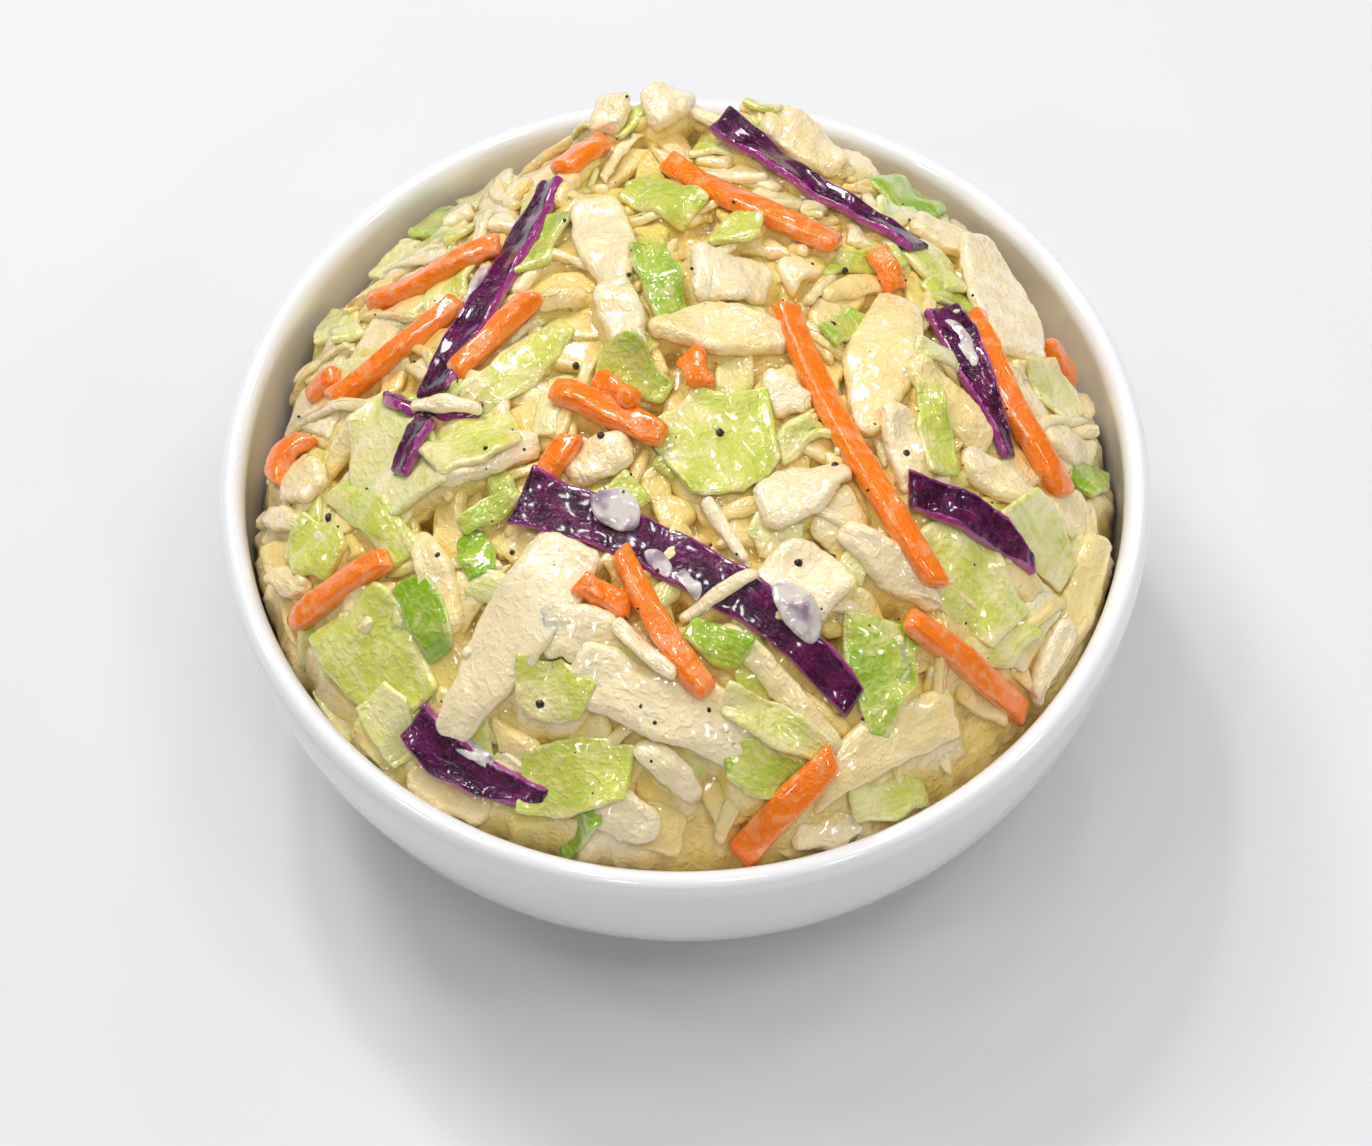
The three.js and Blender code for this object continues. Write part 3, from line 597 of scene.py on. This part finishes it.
# As for the white cabbage, with how green each piece is at the end.
LEAF_LAID = (
    (-42, 44.5, -37.5, 53.5, 0, 7, 9, 5, 0.8),
    (-50, 38, -44, 45, 0, 5, 7, 4, 0.3),
    (-58.5, 26.5, -56.5, 36, 0, 4, 6, 3, 0.3),
    (-63, 0, -61, 6, 0, 3, 4, 2, 0.8),
    (13.5, 59, 19.5, 65, 0, 7, 7, 3, 0.5),
    (34, 53, 43, 46, 0, 8, 10, 7, 0.9),
    (35.5, 33, 44, 23, 1, 5, 8, 5, 0.25),
    (-8, 41, 3, 34, 0, 6, 9, 6, 0.6),
    (-5, 24, -1, 12, 0, 6, 7, 5, 0.9),
    (-34, -2.5, -17.5, 11, -1, 4, 8, 4, 0.35),
    (-13, 2, -2, -3, 0, 5, 7, 4, 0.7),
    (38, -1, 40, -16, 0, 4, 6, 5, 0.6),
    (57.5, 12.5, 63, 6, 0, 6, 8, 5, 0.3),
    (63, -6.5, 67.5, 1.5, 0, 5, 7, 3.5, 0.9),
    (-50, 3, -41, -18, 0, 8, 13, 10, 0.25),
    (-39.5, -12.5, -25.5, -7, 0, 9, 12, 8, 0.35),
    (-62, -14, -54, -22, 0, 6, 9, 6, 0.45),
    (-55, -9, -43, -26, 1, 4, 5.5, 5, 0.5),
    (-42.3, -29, -37.5, -40, 0, 5, 6.5, 4, 1.0),
    (-33, -23, -31, -31, 0, 5, 6, 4, 0.9),
    (-34.5, -22.5, -25, -18.5, 0, 2.6, 4, 2.4, 0.6),
    (-58, -36, -51, -46, 0, 4, 6, 4, 0.4),
    (-54, -29.5, -42, -46.5, 0, 10, 14, 9, 0.45),
    (-49, -43, -44, -53, 0, 5, 7, 5, 0.25),
    (-26, -47, -15, -51, 0, 5, 8, 5, 0.5),
    (-20, -65, -13, -64, 0, 3, 5, 4, 0.9),
    (-26, -58, -9, -60, 0, 9, 11, 8, 0.55),
    (-3, -16, 14, -9, 0, 12, 18, 11, 0.55),
    (36.5, -24, 50, -35, 0, 12, 15, 9, 0.35),
    (52, -17, 60, -23, 0, 8, 10, 6, 0.3),
    (0, -41, 9, -46, 0, 4, 6, 4, 0.8),
    (5, -52, 21, -57, 0, 4, 7, 3, 0.35),
    (5, -59, 18, -60, 0, 5, 8, 4, 0.7),
    (30, -38, 28.5, -54, 0, 12, 10, 3, 0.8),
    (24, -62, 36, -57, 0, 5, 7, 4, 0.35),
)


def leaf_finish():
    leaf = Finish("green_leaf")
    place = leaf.place()
    patches = leaf.noise(place, 160.0, 3.0)
    beads = leaf.beads(place, 950.0)
    tone = leaf.attribute("tone")
    lines = leaf.node("ShaderNodeCombineXYZ", {}, {0: leaf.attribute("along") * 0.6,
                                                   1: leaf.attribute("across") * 1.4})
    veins = leaf.noise(lines, 3.0, 2.0, 0.5, 0.8)
    fresh = tone + (patches - 0.5) * 0.9 + (veins - 0.5) * 0.5
    colour = leaf.mix(LEAF_CREAM, LEAF_PALE, leaf.band(fresh, 0.1, 0.5))
    colour = leaf.mix(colour, LEAF_BRIGHT, leaf.band(fresh, 0.5, 1.0))
    across = leaf.attribute("across")
    colour = leaf.mix(colour, LEAF_CREAM, leaf.band(across * across, 0.8, 1.0) * 0.5)
    colour = leaf.mix(colour, PALE, beads * 0.2)
    milky = leaf.band(leaf.noise(place, 150.0, 3.0, 0.6, 0.6) - tone * 0.12, 0.42, 0.6) * 0.55
    colour = leaf.mix(colour, PALE, milky)
    # Painted shade: ochre where the leaf lies deep in the creases between the pieces.
    shade = leaf.attribute("depth") + (patches - 0.5) * 0.3
    colour = leaf.mix(colour, SHADE_OCHRE, leaf.band(shade, 0.4, 1.5))
    relief = beads * 0.3 + veins * 0.4 + patches
    return moist(leaf, colour, 0.3, leaf.bump(relief, 0.6 * MM, 0.8), 1.0)


leaf_ball = new_ball(44, 28)
for row in LEAF_LAID:
    lay = lay_row(row, thick=chance.uniform(1.1, 1.6), stiff=0.5, sink=0.3, curl=chance.uniform(-0.8, 1.2),
                  wave=0.5)
    add_cut(leaf_shape, leaf_ball, lay, chance.uniform(0.3, 0.9) * MM, 5, tone=row[8])
    lay.raise_top(film=0)
roughen(leaf_shape, amount=0.22 * MM, size=2.1 * MM)
slaw_pieces.append(make_piece("green_leaf", leaf_shape, leaf_finish()))


# Carrot
# Raw carrot cut in long square-edged sticks of about 4 mm, bent a little by the dressing, with a
# milky film of it lying on them in patches.
CARROT_ORANGE = (1.0, 0.23, 0.006, 1)
CARROT_DEEP = (0.92, 0.15, 0.004, 1)
CARROT_MILK = (1.0, 0.42, 0.18, 1)
# A ninth value says how many millimetres deeper a piece lies.
CARROT_LAID = (
    (-1.6, 48, 25.4, 26.6, -2.4, 4, 4.4, 4),
    (-11.5, 54, -19.5, 45.5, 0.3, 3.8, 4, 3.8),
    (-51, 29.2, -28.6, 31.2, -2.2, 3.4, 3.6, 3.4),
    (-56.4, 8.4, -35.2, 20.6, -1.8, 3.5, 3.6, 3.4),
    (-60.5, 13.6, -55, 14, 0, 3.4, 3.6, 3.6),
    (-35.5, 3, -22.5, 14.5, 0.5, 3.2, 3.6, 3.2, 1.6),
    (-20, -2.6, -2.8, -13.2, 0.2, 4, 4.4, 4),
    (-13, -1, -7, -8, 0, 2.5, 2.8, 2.5),
    (-17, -11, -21.5, -17.5, 0, 3.8, 4, 3.4),
    (1, 3, 3, -4, 0, 4, 4, 4),
    (16.3, 13, 38.3, -33.5, -2.4, 3.5, 4.2, 4),
    (31.4, 27.2, 34.3, 20.5, 0, 3.8, 4, 3.8),
    (46.7, 18.5, 60, -10.5, -2.6, 3.8, 4, 3.8),
    (59, 19.5, 64, 17, 0, 3.4, 3.6, 3.4),
    (-63, -29, -45.5, -25, 0.2, 3.8, 4.2, 3.8),
    (-65, -4, -59, 2.5, 2.5, 3.4, 3.8, 3.2),
    (-16.4, -35, -8.4, -38.2, 0, 3.8, 4, 3.8),
    (-10, -29.5, 2.8, -51.5, -1.2, 3.8, 4.2, 3.6),
    (33, -38, 54, -45.6, -0.8, 3.8, 4.2, 4),
    (21.6, -57.5, 6.8, -68.3, 0.8, 3.4, 4.2, 4.6),
)


def carrot_finish():
    carrot = Finish("carrot")
    place = carrot.place()
    patches = carrot.noise(place, 330.0, 3.0, 0.55, 0.5)
    beads = carrot.beads(place, 1100.0)
    lines = carrot.node("ShaderNodeCombineXYZ", {}, {0: carrot.attribute("along") * 0.5,
                                                     1: carrot.attribute("across") * 2.0})
    grain = carrot.noise(lines, 4.0, 3.0, 0.6, 0.3)
    colour = carrot.mix(CARROT_ORANGE, CARROT_DEEP, carrot.band(grain, 0.45, 0.75))
    film = carrot.band(patches, 0.5, 0.64) * 0.6
    colour = carrot.mix(colour, CARROT_MILK, film)
    relief = beads * 0.28 + grain * 0.25 + patches * 0.7
    return moist(carrot, colour, 0.28, carrot.bump(relief, 0.5 * MM, 0.8), 1.0)


carrot_shape = bmesh.new()
carrot_ball = new_ball(48, 24)
for row in CARROT_LAID:
    lay = lay_row(row, thick=chance.uniform(2.8, 3.4), stiff=0.85, sink=0.4 + sum(row[8:]), curl=0, wave=0.06)
    add_cut(carrot_shape, carrot_ball, lay, chance.uniform(0.7, 1.3) * MM, 4, tone=0.5)
    lay.raise_top(film=-0.2)
roughen(carrot_shape, amount=0.12 * MM, size=2 * MM)
slaw_pieces.append(make_piece("carrot", carrot_shape, carrot_finish()))


# Red cabbage
# Long strips of red cabbage leaf, glossy and stiff enough to arch over what is under them, almost
# black in the shade and violet at the cut edge, with dressing smeared along them.
RED_DEEP = (0.045, 0.002, 0.026, 1)
RED_VIOLET = (0.15, 0.008, 0.09, 1)
RED_EDGE = (0.33, 0.03, 0.22, 1)
RED_MILK = (0.50, 0.38, 0.47, 1)
RED_LAID = (
    (7, 55.4, 38.8, 30, -0.6, 6.6, 3.8, 4),
    (-20.2, 44.2, -38.9, 0.8, 0.8, 3.5, 5.4, 5.6),
    (-39.6, -4, -43.9, -12.8, 0, 3.8, 3.8, 2.8),
    (-46.8, 3, -31, -3.4, -2.2, 2, 2.6, 1.6),
    (41.3, 17.2, 51, -8, 0, 6, 5.6, 2),
    (34.2, -19.8, 54.2, -24.5, 0.8, 4.2, 6.8, 2.4),
    (-42.4, -47.8, -22, -60.8, -2.2, 5.6, 6, 2.5, 1.2),
    (-25, -20.2, 25, -50, 3, 8.2, 7.5, 5),
)


def red_finish():
    red = Finish("red_cabbage")
    place = red.place()
    patches = red.noise(place, 300.0, 3.0, 0.5, 0.4)
    beads = red.beads(place, 1200.0)
    across = red.attribute("across")
    lines = red.node("ShaderNodeCombineXYZ", {}, {0: red.attribute("along") * 0.7, 1: across * 1.2})
    smear = red.noise(lines, 2.6, 3.0, 0.6, 1.0)
    colour = red.mix(RED_DEEP, RED_VIOLET, red.band(patches, 0.35, 0.7))
    colour = red.mix(colour, RED_EDGE, red.band(across * across, 0.72, 0.98))
    film = red.band(smear, 0.63, 0.78) * 0.5
    colour = red.mix(colour, RED_MILK, film)
    relief = beads * 0.25 + patches + smear * 0.7 + film
    return moist(red, colour, 0.22, red.bump(relief, 0.6 * MM, 0.9), 1.0)


red_shape = bmesh.new()
red_ball = new_ball(72, 28)
for row in RED_LAID:
    lay = lay_row(row, thick=chance.uniform(1.6, 2.0), stiff=0.65, sink=0.2 + sum(row[8:]),
                  curl=chance.uniform(0.3, 0.9), wave=0.35)
    add_cut(red_shape, red_ball, lay, 0.3 * MM, 6, tone=0.5)
    lay.raise_top(film=-0.2)
roughen(red_shape, amount=0.25 * MM, size=2.5 * MM)
slaw_pieces.append(make_piece("red_cabbage", red_shape, red_finish()))


# Loose white shreds
# The last few thin shreds of white cabbage, fallen across the strips on top of the heap, each cut
# straight and softened at its edges by the dressing.
SHRED_LAID = (
    (-42, -2, -31, -4, 0, 2.4, 2.6, 1.6),
    (11, -34, -1, -39.8, 0, 2, 2.6, 1.6),
    (3, -22, 9, -32, 0, 2, 2.2, 1.6),
    (-11, -41, -2, -50, 0, 2.4, 3, 1.6),
)
shred_shape = bmesh.new()
shred_ball = new_ball(36, 16)
for row in SHRED_LAID:
    lay = lay_row(row, thick=1.6, stiff=0.8, sink=0.2, curl=0, wave=0.1)
    add_cut(shred_shape, shred_ball, lay, 1 * MM, 2.4, tone=0.1)
    lay.raise_top(film=-0.2)
roughen(shred_shape, amount=0.1 * MM, size=2 * MM)
slaw_pieces.append(make_piece("loose_shreds", shred_shape,
                              cabbage_finish("loose_shreds", CABBAGE_PALE, CABBAGE_WARM, CABBAGE_GREENISH)))


# Dressing
# A thin mayonnaise dressing that wets the whole heap. It clings in the creases as a meniscus, so that
# the pieces stand out of one soft, creamy mass, and a few blobs of it lie on the red strips.
MENISCUS = 1.2 * MM
FILM_DROP = 1.0 * MM
WALL_SINK = 2.5 * MM
SINK_FROM, SINK_OVER = 60 * MM, 8 * MM
FILM_STEPS = 280
FILM_WALL_GAP = 0.4 * MM
EDGE_PULL = 12
BLOB_MILK = (0.66, 0.60, 0.54, 1)
BLOB_SHADE = (0.30, 0.20, 0.28, 1)
BLOB_WIDTHS = np.array((0.6, 0.9, 1.0, 0.85, 0.5))
# Each blob: its two ends, its width and its thickness in mm.
BLOBS = (
    (-14, -21.5, -7, -26, 7, 1.4),
    (13.5, -35.5, 19, -43.5, 6.5, 1.6),
    (-6, -30, -2.5, -34, 3, 0.6),
    (-1.5, -33.5, 2, -37.5, 2.6, 0.5),
    (-36, -52, -30, -56, 3, 0.5),
    (-31, 27, -34, 19, 2.6, 0.5),
    (42, 14, 46, 5, 2.6, 0.5),
)


def rolled(field, reach, sign):
    """Lowest or highest the field comes under a ball of the given radius, rolled all over it."""
    cells = int(reach / CELL)
    best = np.full_like(field, sign * -10)
    for row in range(-cells, cells + 1):
        for column in range(-cells, cells + 1):
            away = math.hypot(row, column) * CELL
            if away < reach:
                drop = reach - math.sqrt(reach * reach - away * away)
                moved = np.roll(field, (row, column), (0, 1)) - sign * drop
                best = np.maximum(best, moved) if sign > 0 else np.minimum(best, moved)
    return best


def read_grid(field, x, y):
    """Heights read between the cells of a field."""
    column = np.clip((x + GRID_HALF) / CELL, 0, len(grid_axis) - 1.001)
    row = np.clip((y + GRID_HALF) / CELL, 0, len(grid_axis) - 1.001)
    c, r = column.astype(int), row.astype(int)
    across, up = column - c, row - r
    low = field[r, c] * (1 - across) + field[r, c + 1] * across
    high = field[r + 1, c] * (1 - across) + field[r + 1, c + 1] * across
    return low * (1 - up) + high * up


def dressing_finish():
    dressing = Finish("dressing")
    place = dressing.place()
    patches = dressing.noise(place, 140.0, 3.0)
    regions = dressing.noise(place, 55.0, 2.0)
    beads = dressing.beads(place, 850.0)
    colour = dressing.mix(PALE, CREAM, dressing.band(patches, 0.35, 0.65))
    colour = dressing.mix(colour, OLIVE_CREAM, dressing.band(regions, 0.52, 0.66) * 0.7)
    # Painted shade: honey, then ochre, where the dressing lies deep between the pieces.
    colour = dressing.paint_crease_shade(colour, patches)
    relief = beads * 0.3 + patches
    return moist(dressing, colour, 0.3, dressing.bump(relief, 0.6 * MM, 0.9), 1.0)


film_level = rolled(rolled(wet, MENISCUS, 1), MENISCUS, -1) - FILM_DROP
for axis in (0, 1, 0, 1):
    film_level = (np.roll(film_level, 1, axis) + 2 * film_level + np.roll(film_level, -1, axis)) / 4
film_shape = bmesh.new()
sheet = bmesh.ops.create_grid(film_shape, x_segments=FILM_STEPS, y_segments=FILM_STEPS, size=1.0)["verts"]
plan = np.array([v.co for v in sheet])
plan /= np.abs(plan).max()
film_x = plan[:, 0] * np.sqrt(1 - plan[:, 1] ** 2 / 2)
film_y = plan[:, 1] * np.sqrt(1 - plan[:, 0] ** 2 / 2)
film_out = np.hypot(film_x, film_y)
film_z = read_grid(film_level, film_x * CORE_RADIUS, film_y * CORE_RADIUS)
film_z -= WALL_SINK * np.clip((film_out * CORE_RADIUS - SINK_FROM) / SINK_OVER, 0, 1) ** 2
film_reach = inner_radius(np.minimum(film_z, LIP_Z)) - FILM_WALL_GAP
film_reach = np.minimum(film_reach, CORE_RADIUS + EDGE_INSET)
stretch = CORE_RADIUS + (film_reach - CORE_RADIUS) * film_out**EDGE_PULL
for vert, x, y, z in zip(sheet, film_x * stretch, film_y * stretch, film_z):
    vert.co = (x, y, z)
roughen(film_shape, amount=0.25 * MM, size=2 * MM)
edge = [e for e in film_shape.edges if e.is_boundary]
grown = bmesh.ops.extrude_edge_only(film_shape, edges=edge)["geom"]
base = [g for g in grown if isinstance(g, bmesh.types.BMVert)]
base_radius = inner_radius(CORE_TOP_Z) - FILM_WALL_GAP
for vert in base:
    out = math.hypot(vert.co.x, vert.co.y)
    vert.co = (vert.co.x / out * base_radius, vert.co.y / out * base_radius, CORE_TOP_Z)
edge = [g for g in grown if isinstance(g, bmesh.types.BMEdge) and g.is_boundary]
grown = bmesh.ops.extrude_edge_only(film_shape, edges=edge)["geom"]
base = [g for g in grown if isinstance(g, bmesh.types.BMVert)]
bmesh.ops.pointmerge(film_shape, verts=base, merge_co=(0, 0, CORE_TOP_Z))
bmesh.ops.recalc_face_normals(film_shape, faces=film_shape.faces)
slaw_pieces.append(make_piece("dressed_slaw", film_shape, dressing_finish()))

blob_shape = bmesh.new()
blob_ball = new_ball(28, 24)
for x0, y0, x1, y1, wide, thick in BLOBS:
    ends, widths = np.array((x0, y0, x1, y1)) * MM, BLOB_WIDTHS * wide / 2 * MM
    lay = Lay(ends, 0.3 * MM, widths, widths * 0.9, thick * MM, stiff=0.3, sink=0.3 * thick * MM)
    add_cut(blob_shape, blob_ball, lay, 4 * MM, 2.2, tone=0)
    lay.raise_top(film=0)
roughen(blob_shape, amount=0.25 * MM, size=2.2 * MM)


def blob_finish():
    blob = Finish("dressing_blobs")
    cloud = blob.noise(blob.place(), 260.0, 2.0)
    colour = blob.mix(BLOB_MILK, BLOB_SHADE, blob.band(cloud, 0.45, 0.68))
    return moist(blob, colour, 0.2 + cloud * 0.1, blob.bump(cloud, 0.5 * MM, 0.6), 0.9)


slaw_pieces.append(make_piece("dressing_blobs", blob_shape, blob_finish()))


# Depth in the heap
# How far each spot of the slaw lies below the heap's top around it, kept on its mesh, so that the finishes
# can paint shade into the creases: honey, then ochre, the deeper a spot lies.
SPREAD_CELLS = 7
DEPTH_FULL = 4 * MM
around = top.copy()
for axis in (0, 1):
    around = sum(np.roll(around, shift, axis) for shift in range(-SPREAD_CELLS, SPREAD_CELLS + 1))
    around /= 2 * SPREAD_CELLS + 1
for piece in slaw_pieces:
    count = len(piece.data.vertices)
    spots = np.empty(count * 3, dtype=np.float32)
    piece.data.vertices.foreach_get("co", spots)
    spots = spots.reshape(count, 3)
    depth = (around[cells_at(spots[:, 0], spots[:, 1])] - spots[:, 2]) / DEPTH_FULL
    layer = piece.data.attributes.new("depth", "FLOAT", "POINT")
    layer.data.foreach_set("value", np.clip(depth, 0, 2).astype(np.float32))
    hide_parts("coleslaw")


# Pepper
# Coarsely cracked black pepper, scattered over the top as it was ground: a few large grains and a
# dust of small ones.
# Each placed grain: where it lies, seen from above, and its size in mm.
PEPPER_PLACES = (
    (23.5, 8.9, 1.7), (5.5, -11.3, 1.5), (23.0, -16.6, 1.5), (33.9, -13.5, 1.5), (16.9, -31.7, 1.5),
    (-55.7, -13.1, 1.6), (-5.7, -58.9, 1.6), (-22.4, -50.1, 1.5), (20.0, -38.6, 1.4), (-12.5, -12.0, 1.3),
    (-16.4, 3.5, 1.2), (-26.3, -27.3, 1.1), (22.4, -29.2, 1.1), (-7.2, -52.4, 1.1), (2.8, -53.0, 1.2),
    (-37.8, -27.1, 1.0), (2.5, 22.4, 1.2), (21.0, 23.6, 1.1), (26.2, 22.1, 1.1), (-5.1, -54.9, 0.9),
    (-9.3, 19.0, 0.9), (-7.9, 18.1, 0.8), (-30.1, -13.0, 0.9), (-19.8, -31.7, 0.7), (11.5, 24.3, 0.8),
)
PEPPER_DUST = 170
PEPPER_REACH = 64 * MM
DUST_SIZES = (0.25, 0.65)
GRAIN_CRACKS = 0.25
PEPPER_HUSK = (0.012, 0.007, 0.005, 1)
PEPPER_BROWN = (0.10, 0.04, 0.018, 1)


def pepper_finish():
    pepper = Finish("black_pepper")
    husk = pepper.noise(pepper.place(), 2600.0, 3.0)
    return pepper.surface({
        "Base Color": pepper.mix(PEPPER_HUSK, PEPPER_BROWN, pepper.band(husk, 0.45, 0.7)),
        "Roughness": 0.5,
        "Coat Weight": 0.4,
        "Normal": pepper.bump(husk, 0.1 * MM, 0.5),
    })


grain_shape = bmesh.new()
bmesh.ops.create_icosphere(grain_shape, subdivisions=2, radius=1)
grain_mesh = bpy.data.meshes.new("grain")
grain_shape.to_mesh(grain_mesh)
grain_shape.free()
pepper_shape = bmesh.new()
grains = [(x * MM, y * MM, size * MM) for x, y, size in PEPPER_PLACES]
for _ in range(PEPPER_DUST):
    out, turn = PEPPER_REACH * math.sqrt(chance.uniform()), chance.uniform(0, math.tau)
    grains.append((out * math.cos(turn), out * math.sin(turn), chance.uniform(*DUST_SIZES) * MM))
for x, y, size in grains:
    before = len(pepper_shape.verts)
    pepper_shape.from_mesh(grain_mesh)
    pepper_shape.verts.ensure_lookup_table()
    lift = top[cells_at(x, y)] - size * 0.1
    for vert in pepper_shape.verts[before:]:
        vert.co *= size / 2
        vert.co *= 1 + GRAIN_CRACKS * noise.noise(vert.co * 1500 + Vector((x, y, 0)) * 3000)
        vert.co += Vector((x, y, lift))
pepper = make_piece("pepper", pepper_shape, pepper_finish())
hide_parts("coleslaw")


# Floor, light and camera
# A plain pale floor, soft studio light from the back left with fills from the right and the front,
# a double ring of small lamps that glint in the wet film, and the camera looking down at 60 degrees.
FLOOR_SIZE = 4.0
FLOOR_GREY = (0.70, 0.70, 0.715, 1)
HEAP_MIDDLE = (0, 0, 0.06)
SURROUND_LIGHT = 0.23
CAMERA_ELEVATION = math.radians(59.96)
CAMERA_ROLL = math.radians(-1.293)
CAMERA_DISTANCE = 0.5806
CAMERA_TARGET = Vector((-0.05 * MM, -19.74 * MM, RIM_Z))
SENSOR = 36.0
FOCAL_PIXELS = 3677
PICTURE_PIXELS = 1372
LENS = SENSOR * FOCAL_PIXELS / PICTURE_PIXELS

floor_shape = bmesh.new()
bmesh.ops.create_grid(floor_shape, x_segments=1, y_segments=1, size=FLOOR_SIZE / 2)
floor_mesh = bpy.data.meshes.new("floor")
floor_shape.to_mesh(floor_mesh)
floor_shape.free()
floor = bpy.data.objects.new("floor", floor_mesh)
bpy.context.scene.collection.objects.link(floor)
floor_finish = Finish("pale_floor")
floor_mesh.materials.append(floor_finish.surface({"Base Color": FLOOR_GREY, "Roughness": 0.7}))


def add_light(name, place, aim, size, power, colour, mirrored):
    lamp = bpy.data.lights.new(name, "AREA")
    lamp.shape = "DISK"
    lamp.size = size
    lamp.energy = power
    lamp.color = colour
    light = bpy.data.objects.new(name, lamp)
    light.location = place
    light.visible_glossy = mirrored
    light.rotation_euler = (Vector(aim) - Vector(place)).to_track_quat("-Z", "Y").to_euler()
    bpy.context.scene.collection.objects.link(light)


add_light("window", (-0.4, 0.5, 0.85), HEAP_MIDDLE, 0.26, 3.1, (1.0, 0.99, 0.97), True)
add_light("sparkle", (-0.2, 0.5, 0.9), HEAP_MIDDLE, 0.1, 1.9, (1.0, 1.0, 1.0), True)
add_light("overhead", (0.15, -0.1, 1.1), HEAP_MIDDLE, 0.7, 2.1, (1.0, 1.0, 1.0), False)
for turn in range(0, 360, 45):
    for out, height in ((0.35, 1.0), (0.75, 0.75)):
        heading = math.radians(turn + 40 * out)
        spot = (out * math.cos(heading), out * math.sin(heading), height)
        add_light("glint", spot, HEAP_MIDDLE, 0.1, 0.36, (1.0, 1.0, 1.0), True)
add_light("right_fill", (0.9, 0.1, 0.6), (-0.03, 0, 0.06), 0.5, 1.2, (1.0, 1.0, 1.0), False)
add_light("front_fill", (0.5, -0.9, 0.5), (0, 0, 0.05), 0.7, 0.8, (0.98, 0.99, 1.0), False)

world = bpy.data.worlds.new("studio")
bpy.context.scene.world = world
world.use_nodes = True
world.cycles_visibility.glossy = False
world.node_tree.nodes["Background"].inputs["Color"].default_value = (1, 1, 1, 1)
world.node_tree.nodes["Background"].inputs["Strength"].default_value = SURROUND_LIGHT
bpy.context.scene.view_settings.view_transform = "Standard"

cos_e, sin_e = math.cos(CAMERA_ELEVATION), math.sin(CAMERA_ELEVATION)
back = Vector((0, -cos_e, sin_e))
level_right, level_up = Vector((1, 0, 0)), Vector((0, sin_e, cos_e))
right = level_right * math.cos(CAMERA_ROLL) + level_up * math.sin(CAMERA_ROLL)
up = level_up * math.cos(CAMERA_ROLL) - level_right * math.sin(CAMERA_ROLL)
lens = bpy.data.cameras.new("camera")
lens.sensor_width = SENSOR
lens.lens = LENS
camera = bpy.data.objects.new("camera", lens)
camera.matrix_world = Matrix.Translation(CAMERA_TARGET + back * CAMERA_DISTANCE) @ Matrix(
    (right, up, back)).transposed().to_4x4()
bpy.context.scene.collection.objects.link(camera)
bpy.context.scene.camera = camera

bpy.context.view_layer.update()
